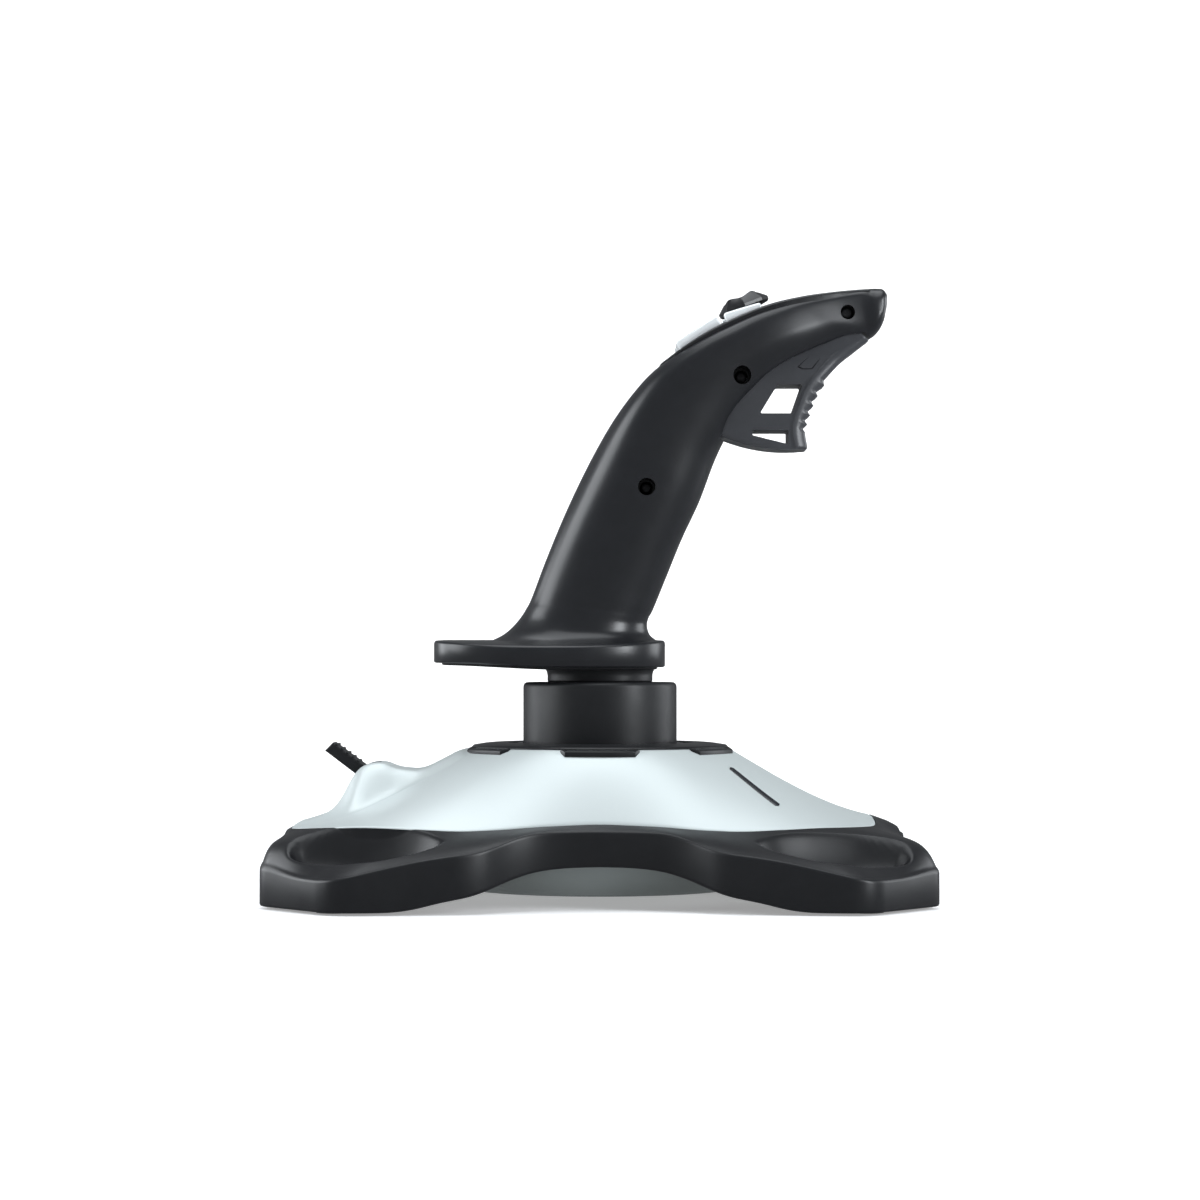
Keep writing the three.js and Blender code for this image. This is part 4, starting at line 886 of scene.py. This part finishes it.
# The seam between shell and trigger, and the deeper pocket behind it that the trigger swings into.
NOSE_SLOT = [(60, 158), (112, 207), (104.6, 214.4)]
SEAM_OUTLINE = NOSE_SLOT + [
    (100.6, 215.9), (97.4, 216.3), (94, 215.6), (90, 214.2), (86, 212.5), (82, 210.8), (78, 209.1),
    (74, 207.2), (70, 205.1), (66, 202.5), (62, 199.3), (57.5, 195.0), (54, 191.2), (51.3, 187.8),
    (48.4, 183.1), (46.2, 177.0), (47.4, 175.2), (54, 168),
]
POCKET_OUTLINE = NOSE_SLOT + [
    (99.8, 218), (97.6, 220.6), (93, 220.9), (90, 219.2), (86, 217), (80, 214.2), (74, 211.0),
    (67.4, 207.3), (61.0, 202.5), (55.6, 197.3), (50.2, 193.5), (45.3, 187.4), (42.2, 180.4), (42.4, 178.0),
    (45.2, 176.3), (48.4, 174.6),
]
SCREW_PLACES = {"grip_screw_1": (94.6, 224.2), "grip_screw_2": (54.0, 199.6), "grip_screw_3": (17.7, 157.1)}
SCREW_FLOOR = 7.0
SCREW_HOLES = {"grip_screw_1": 2.8, "grip_screw_2": 3.45, "grip_screw_3": 3.3}
# Top keys: x, y, width, length, height, sink below the deck line and tip.
TOP_BUTTONS = {
    "top_button_3": (-8.6, 37.8, 13.6, 18.4, 3.7, 1.2, 0.04),
    "top_button_4": (8.6, 37.8, 13.6, 18.4, 3.7, 1.2, 0.04),
    "top_button_5": (-13.6, 54.4, 5.6, 14.6, 3.0, 1.2, -0.11),
    "top_button_6": (13.6, 54.4, 5.6, 14.6, 3.0, 1.2, -0.11),
}
KEY_FOOT, WELL_GAP = 4.2, 0.6
HAT_Y = 56.2
PLATE = {"y": -19.4, "half_y": 44.4, "half_x": 31.0}


def trigger_half(z):
    """Half width of the trigger at a height: it narrows towards the nose."""
    return TRIGGER_HALF - (TRIGGER_HALF - TRIGGER_TOP_HALF) * smoothstep((z - 194) / 22)


def dense(outline, step):
    """A closed outline with points added so that none are further apart than a step."""
    made = []
    for start, end in zip(outline, [*outline[1:], outline[0]]):
        start, end = np.array(start, float), np.array(end, float)
        count = max(1, int(math.ceil(np.linalg.norm(end - start) / step)))
        made += [tuple(start + (end - start) * i / count) for i in range(count)]
    return made


def slot_cutters():
    """Cutters for the trigger's opening: the seam through the whole shell, the pocket between its walls."""
    pocket = slab("cut", dense(POCKET_OUTLINE, 2.0), -1, 1, matrix=TO_YZ)
    for vert in pocket.data.vertices:
        vert.co.x *= float(trigger_half(vert.co.z)) + 0.5
    return [pocket, slab("cut", SEAM_OUTLINE, -40, 40, matrix=TO_YZ)]


def plate_loop(shrink, power=2.4, count=160):
    turn = np.linspace(0, TAU, count, endpoint=False)
    c, s = np.cos(turn), np.sin(turn)
    x = (PLATE["half_x"] - shrink) * np.sign(c) * np.abs(c) ** (2 / power)
    y = PLATE["y"] + (PLATE["half_y"] - shrink) * np.sign(s) * np.abs(s) ** (2 / power)
    return x, y


def plate_top(x, y):
    return 99.0 - 2.3 * np.clip(np.abs(x) / PLATE["half_x"], 0, 1) ** 2


def plate_under(_, y):
    return 88.6 + 1.7 * smoothstep((-y - 14) / 48)


def plate_rows(steps, height):
    """Loops of the hand rest's outline, each drawn in by a distance and lifted off a surface."""
    rows = []
    for shrink, lift in steps:
        x, y = plate_loop(shrink)
        rows.append(np.stack([x, y, height(x, y) + lift], 1))
    return rows


def build_hand_rest():
    """The hand rest's plate, to be joined to the grip."""
    edge = [(0, -1.3), (0.1, -0.75), (0.4, -0.3), (0.9, -0.08), (1.6, 0.0)]
    flat = [(shrink, 0.15) for shrink in (4, 8, 12, 16, 20, 24)]
    under = plate_rows([(0.9, 0.0), (0.25, 0.27), (0, 0.63)], plate_under)
    return loft("hand_rest", under + plate_rows(edge + flat, plate_top))


def key_wells():
    """Cutters for the openings of the top keys and the hat."""
    made = []
    for x, y, w, length, _, sink, tip in TOP_BUTTONS.values():
        size = (w + WELL_GAP, length + WELL_GAP, 16)
        made.append(ball_box("cut", size, 0.3, deck_place(x, y, sink, tip) @ at(0, 0, -6), steps=1))
    well = lathe("cut", [(0, -8), (6.2, -8), (6.2, 8), (0, 8)], 48)
    well.data.transform(deck_place(0, HAT_Y))
    return [*made, well]


def build_grip():
    """The grip with its hand rest and openings, as two shells that meet at a fine groove."""
    body = loft("grip", [grip_section(row, 128) for row in open_curve(GRIP, 9)])
    carve(body, build_hand_rest(), operation="UNION")
    cutters = slot_cutters()
    for node, (y, z) in SCREW_PLACES.items():
        wide = SCREW_HOLES[node]
        hole = lathe("cut", [(0, SCREW_FLOOR), (wide, SCREW_FLOOR), (wide, 40), (0, 40)], 48)
        hole.data.transform(at(0, y, z, QUARTER, "Y"))
        cutters.append(hole)
    carve(body, *cutters, *key_wells(), thumb_shape("cut", KEY_GAP, 0.01))
    for sign, side in ((1, "right"), (-1, "left")):
        half = linked(f"grip_{side}", body.data.copy())
        shape = bmesh.new()
        shape.from_mesh(half.data)
        cut = bmesh.ops.bisect_plane(
            shape, geom=[*shape.verts, *shape.edges, *shape.faces], plane_co=(sign * 0.09, 0, 0),
            plane_no=(sign, 0, 0), clear_inner=True,
        )
        rim = [e for e in cut["geom_cut"] if isinstance(e, bmesh.types.BMEdge)]
        lip = bmesh.ops.extrude_edge_only(shape, edges=rim)
        for vert in (v for v in lip["geom"] if isinstance(v, bmesh.types.BMVert)):
            vert.co.x = sign * 0.04
        shape.to_mesh(half.data)
        shape.free()
        to_metres(half, "handle", BLACK, "black_gloss", f"grip_shell_{side}", sharp=42)
    bpy.data.objects.remove(body)


def build_rest_cover():
    """The cover under the hand rest, with a shallow step inside its rim."""
    steps = [(3.0, 0.6), (3.0, -0.3), (3.3, -0.75), (4.2, -0.9), (8, -0.9), (9, -0.4), (11, -0.4)]
    cover = loft("hand_rest_underside", plate_rows(steps, plate_under))
    to_metres(cover, "handle", BLACK_MATTE, "black_matte", "hand_rest_cover", sharp=35)


def thumb_shape(name, grow, bevel):
    """The thumb button on the grip's left side, or a cutter for its opening."""
    face = at(0, 41, 203.5, 0.9) @ Matrix.Rotation(-QUARTER, 4, "Y") @ Matrix.Rotation(QUARTER, 4, "Z")
    return slab(name, capsule_outline(16, 9, grow), 17.4 + grow, 24.4 + grow * 20, bevel, face, 4)


# The deck's half width along its length, and half its section: fraction of that width and drop.
DECK_HALF = [(21, 13.5), (26, 16.6), (31, 18.2), (36, 18.7), (63, 18.7), (82, 15.2), (98, 10.3), (104, 9.4)]
DECK_SECTION = [
    (0, 0), (0.3, 0.05), (0.6, 0.22), (0.84, 0.5), (0.94, 0.72), (0.975, 0.9), (0.993, 1.2), (1, 1.7),
    (0.985, 4.6),
]


def build_deck():
    """The glossy strip along the top of the head that carries the buttons and hat."""
    both = [(-v, drop) for v, drop in reversed(DECK_SECTION[1:])] + DECK_SECTION
    rows = []
    for i in range(len(deck_points)):
        y, z = deck_points[i]
        before, after = deck_points[max(0, i - 1)], deck_points[min(len(deck_points) - 1, i + 1)]
        run = (after - before) / np.linalg.norm(after - before)
        up = np.array((-run[1], run[0]))
        half = float(eased(DECK_HALF, y, 6)) * (1 - 0.35 * max(0.0, 1 - i / 7) ** 2)
        rear, front = max(0.0, 1 - i / 16), max(0.0, 1 - (len(deck_points) - 1 - i) / 4)
        sink = 1.7 * rear**2 + 0.7 * front**2
        rows.append([(v * half, *(np.array((y, z)) - up * (drop + sink))) for v, drop in both])
    strip = loft("strip", rows)
    boss = lathe("boss", rounded([(5, -2), (9.8, -2), (9.5, 0.1), (6.4, 0.3), (5, 0.3)], [0, 0.1, 0.1]), 64)
    boss.data.transform(deck_place(0, HAT_Y))
    deck = carve(strip, boss, operation="UNION")
    deck.name = "grip_deck"
    carve(deck, *key_wells())
    to_metres(deck, "handle", BLACK_DECK, "black_gloss", "deck_cover", sharp=35)


def build_top_buttons():
    for node, (x, y, w, length, high, sink, tip) in TOP_BUTTONS.items():
        place = deck_place(x, y, sink, tip) @ at(0, 0, -KEY_FOOT)
        name, size = node.replace("top_button", "silver_key"), (w, length, high + KEY_FOOT)
        key = ball_box(name, size, 0.8, place, 0.2, 4)
        to_metres(key, node, BUTTON_SILVER, "button_silver", node, sharp=35)
    key = thumb_shape("silver_key_2", 0, 0.8)
    to_metres(key, "thumb_button", BUTTON_SILVER, "button_silver", "thumb_button_2", sharp=35)


# Loops of the hat's cap: distance out, height, lift at the corners and how eight-sided it is.
HAT = [
    (7.6, 1.5, 0, 1), (8.7, 1.7, 0, 1), (9.3, 2.4, 0, 1), (9.4, 3.5, 0, 1), (9.2, 3.9, 0, 1),
    (6.6, 6.3, 0.9, 1), (6.1, 6.55, 0.9, 0.9), (5.5, 6.35, 0.7, 0.7), (4.2, 5.7, 0.3, 0.3),
    (2.4, 5.2, 0.05, 0), (0.8, 5.05, 0, 0),
]


def build_hat():
    """Eight-way hat: an eight-sided cap with a dished top and raised corners."""
    turn = np.linspace(0, TAU, 96, endpoint=False)
    octagon = 1 / np.cos((turn % (TAU / 8)) - TAU / 16)
    corner = 0.5 - 0.5 * np.cos(4 * turn)
    rows = []
    for reach, z, lift, square in HAT:
        r = reach * (1 + (octagon - 1) * square)
        rows.append(np.stack([0.93 * r * np.cos(turn), 0.4 + r * np.sin(turn), z + lift * corner], 1))
    cap = loft("cap", rows)
    stem = lathe("stem", [(0, -2.2), (2.6, -2.2), (2.6, 3), (0, 3)], 32)
    skirt = lathe("skirt", rounded([(2, 1.6), (5.4, 1.6), (6.2, 2.1), (2, 2.1)], [0.15, 0.15]), 48)
    hat = join("hat", cap, stem, skirt)
    hat.data.transform(deck_place(0, HAT_Y))
    to_metres(hat, "hat", BLACK_DECK, "black_gloss", "hat_cap", sharp=24)


def corners_rounded(points, radius):
    """A closed outline with round corners."""
    loop = []
    for i in range(len(points)):
        a, b, c = (np.array(points[(i + k) % len(points)], float) for k in (-1, 0, 1))
        start = b + (a - b) / np.linalg.norm(a - b) * radius
        end = b + (c - b) / np.linalg.norm(c - b) * radius
        loop += [tuple(p) for p in bend(start, b, end, np.linspace(0, 1, 5))]
    return loop


# The trigger from the side, from its lower end up: its edges, teeth and openings.
TRIGGER_BACK = [
    (45.2, 177.3), (48.0, 184.0), (55.9, 193.5), (67.3, 204.1), (80, 211.2), (91.2, 216.8), (96.8, 219.2),
]
TRIGGER_FRONT = [
    (78.7, 172.2), (77.7, 179.5), (79.8, 187.1), (83.6, 195.4), (91.6, 204.8), (98.2, 210.2), (103.0, 213.9),
]
TEETH = {"first": 0.168, "last": 0.55, "count": 5, "proud": 1.35}
WINDOW = [(61.1, 185.6), (73.5, 185.6), (77.4, 196.7), (67.9, 196.7)]
SLIT = [(58.2, 177.2), (72.0, 173.8), (72.0, 179.2), (58.2, 179.2)]
HEXAGON = [(75.4, 203.4), (78.0, 206.0), (82.2, 209.2), (84.4, 206.8), (81.2, 202.6), (77.2, 202.4)]


def tooth(s):
    """How far the front edge stands out at a fraction of its length: a lip, then teeth steep on top."""
    along = (s - TEETH["first"]) / (TEETH["last"] - TEETH["first"]) * TEETH["count"]
    if along < 0:
        return 0.9 * min(1.0, -along / 0.25) * float(smoothstep((s + 0.04) / 0.08))
    if along >= TEETH["count"]:
        return 0.0
    phase = along % 1
    return TEETH["proud"] * (phase / 0.7 if phase < 0.7 else (1 - phase) / 0.3) ** 1.4


def build_trigger():
    """Toothed trigger with a window, a slit and a shallow hexagon, its front edge a rounded flange."""
    back = open_curve(TRIGGER_BACK, 60)
    front = open_curve(TRIGGER_FRONT, 60)
    steps = len(front)
    rows = []
    for j, (f, b) in enumerate(zip(front, back)):
        s = j / (steps - 1)
        across = (f - b) / np.linalg.norm(f - b)
        bulge = 1.0 + 0.05 * (1 - smoothstep((s - 0.5) / 0.2))
        tip = f + np.array((math.cos(0.35), -math.sin(0.35))) * tooth(s)
        edge = min(1.0, s / 0.02, (1 - s) / 0.02)
        half = 1 - 0.06 * (1 - math.sqrt(edge))
        depth = np.linalg.norm(f - b)
        flange = min(4.0, depth * 0.3)
        groove = 0.055 * (1 - smoothstep((s - 0.62) / 0.2))
        right = [(0.0, 0.0), (0.5 * half, 0.0)]
        for t in np.linspace(0.15, QUARTER, 8):
            right.append((half * (1 - 0.3 * (1 - math.sin(t))), flange * (1 - math.cos(t))))
        for q in np.linspace(flange, depth - 0.4, 26)[1:]:
            right.append((half * (1 - groove * smoothstep((q - flange) / 1.2)), q))
        right.append((half * (1 - groove) - 0.03, depth))
        loop = [*right, *[(-x, q) for x, q in reversed(right[1:])]]
        points = []
        for x, q in loop:
            u = q / depth
            sag = 2.3 * 4 * u * (1 - u) * max(0, 1 - s * 7) ** 2
            lead = (1 - smoothstep(q / 2.2)) if q < 2.2 else 0.0
            y, z = f + (b - f) * u + (tip - f) * lead
            points.append((x * bulge * float(trigger_half(z)), y, z - sag))
        rows.append(points)
    blade = loft("trigger_blade", rows)
    cutters = [
        slab("cut", corners_rounded(outline, radius), -14, 14, matrix=TO_YZ)
        for outline, radius in ((WINDOW, 0.9), (SLIT, 0.4))
    ]
    middle = np.mean(HEXAGON, axis=0)
    inner = [tuple(middle + (np.array(c) - middle) * 0.86) for c in HEXAGON]
    outer, holes = corners_rounded(HEXAGON, 0.5), [corners_rounded(inner, 0.4)]
    face = float(trigger_half(205))
    for low, high in ((face - 0.8, 14), (-14, 0.8 - face)):
        cutters.append(slab("cut", outer, low, high, matrix=TO_YZ, holes=holes))
    carve(blade, *cutters)
    to_metres(blade, "trigger", TRIGGER_LIT_BLACK, "black_matte", "trigger", sharp=33)


PIN = {"y": 95, "z": 217.2, "radius": 1.3, "half": 9.2}


def build_pin():
    pin = rod("trigger_pivot", PIN["radius"], PIN["half"], 0.3, 24, at(0, PIN["y"], PIN["z"]))
    to_metres(pin, "handle", STEEL, "steel", "trigger_pin", sharp=30)


def build_screws():
    for node, (y, z) in SCREW_PLACES.items():
        head = cross_screw(node.replace("grip", "shell"), 2.5, 1.7)
        head.data.transform(at(SCREW_FLOOR + 0.1, y, z, QUARTER, "Y"))
        to_metres(head, "handle", DARK_STEEL, "steel", node, sharp=30)


# ---- carried-over nodes
CARRIED = {
    "ballast_plate": IRON, "gimbal_tower": GREY, "tilt_sensor_board": GREEN, "main_board": GREEN,
    "base_button_board": GREEN, "throttle_pot": CHIP, "gimbal_ring": ACETAL, "gimbal_core": ACETAL,
    "tilt_emitter": CHIP, "stick_shaft": STEEL, "centring_plate": ACETAL, "centring_spring": STEEL,
    "twist_spring": STEEL, "twist_pot": CHIP, "handle_board": GREEN, "trigger_switch": CHIP,
    "hat_cross": CHIP,
}


def dress_carried():
    for node, look in CARRIED.items():
        held = frame["nodes"][node]
        held.data.materials.clear()
        held.data.materials.append(look)


# ---- stage, light, camera
def build_stage():
    """A pale floor that curves up into a backdrop on the far side."""
    look = Look("pale_floor", (0.86, 0.865, 0.87), 0.75, Emission_Color=(1, 1, 1, 1), Emission_Strength=0.3)
    look.tint(look.noise(9, detail=3), (0.855, 0.86, 0.865), (0.875, 0.88, 0.885))
    near, bend_x, sweep, half, top = 6.0, -2.2, 1.6, 8, 6
    arc = [(bend_x - sweep * math.sin(t), sweep * (1 - math.cos(t))) for t in np.linspace(0.1, QUARTER, 14)]
    line = [(near, 0), (bend_x, 0), *arc, (-3.8, top)]
    points = [(x, y, z) for x, z in line for y in (-half, half)]
    faces = [(2 * i, 2 * i + 1, 2 * i + 3, 2 * i + 2) for i in range(len(line) - 1)]
    mesh = bpy.data.meshes.new("floor")
    mesh.from_pydata(points, [], faces)
    mesh.materials.append(look.material)
    for face in mesh.polygons:
        face.use_smooth = True
    floor = linked("floor", mesh)
    floor.visible_glossy = False


def aimed(name, data, place, aim):
    """A lamp or camera at a place, pointed at another."""
    holder = linked(name, data)
    holder.location = place
    holder.rotation_euler = (Vector(aim) - Vector(place)).to_track_quat("-Z", "Y").to_euler()
    return holder


# Area lights, in metres and watts: place, aim, size, power and colour.
COOL, WHITE = (0.93, 0.965, 1.0), (1, 1, 1)
LIGHTS = {
    "top_softbox": ((0.1, 0.0, 1.5), (0, 0, 0.1), (1.2, 1.8), 17.5, COOL),
    "rear_panel": ((0.12, -1.22, 0.48), (0, 0, 0.12), (0.8, 0.9), 12.5, COOL),
    "front_panel": ((0.8, 1.05, 0.44), (0, 0, 0.14), (0.4, 0.8), 13, COOL),
    "far_front_panel": ((-0.5, 1.25, 0.3), (0, 0, 0.12), (0.7, 0.7), 6, COOL),
    "far_rear_panel": ((-0.55, -1.2, 0.25), (0, 0, 0.1), (0.5, 0.6), 5, COOL),
    "backdrop_wash": ((-1.2, 0, 1.8), (-3.2, 0, 0.4), (3, 1), 70, WHITE),
}


def build_light():
    world = bpy.data.worlds.new("studio")
    world.use_nodes = True
    background = world.node_tree.nodes["Background"]
    fill(background, {"Color": (0.93, 0.96, 1.0, 1), "Strength": 0.2})
    bpy.context.scene.world = world
    for name, (place, aim, size, watts, colour) in LIGHTS.items():
        light = bpy.data.lights.new(name, "AREA")
        light.shape = "RECTANGLE"
        light.size, light.size_y = size
        light.energy = watts
        light.color = colour
        aimed(name, light, place, aim)


# The camera, in metres but for its lens and sensor.
CAMERA = {"place": (1.3, 0, 0.091), "aim": (0, 0, 0.1145), "lens": 101.4, "sensor": 36, "clip": (0.05, 60)}


def build_camera():
    """Side view from the user's right, from the height of the hand rest."""
    camera = bpy.data.cameras.new("camera")
    camera.sensor_width = CAMERA["sensor"]
    camera.lens = CAMERA["lens"]
    camera.clip_start, camera.clip_end = CAMERA["clip"]
    bpy.context.scene.camera = aimed("camera", camera, CAMERA["place"], CAMERA["aim"])
    bpy.context.scene.view_settings.view_transform = "Standard"


for build in (
    build_camera, build_stage, build_light, build_frame, build_dome, build_underside, build_bezel,
    build_base_buttons, build_throttle, build_badge, build_grommet, build_collar, build_grip,
    build_rest_cover, build_deck, build_top_buttons, build_hat, build_trigger, build_pin, build_screws,
    dress_carried,
):
    build()
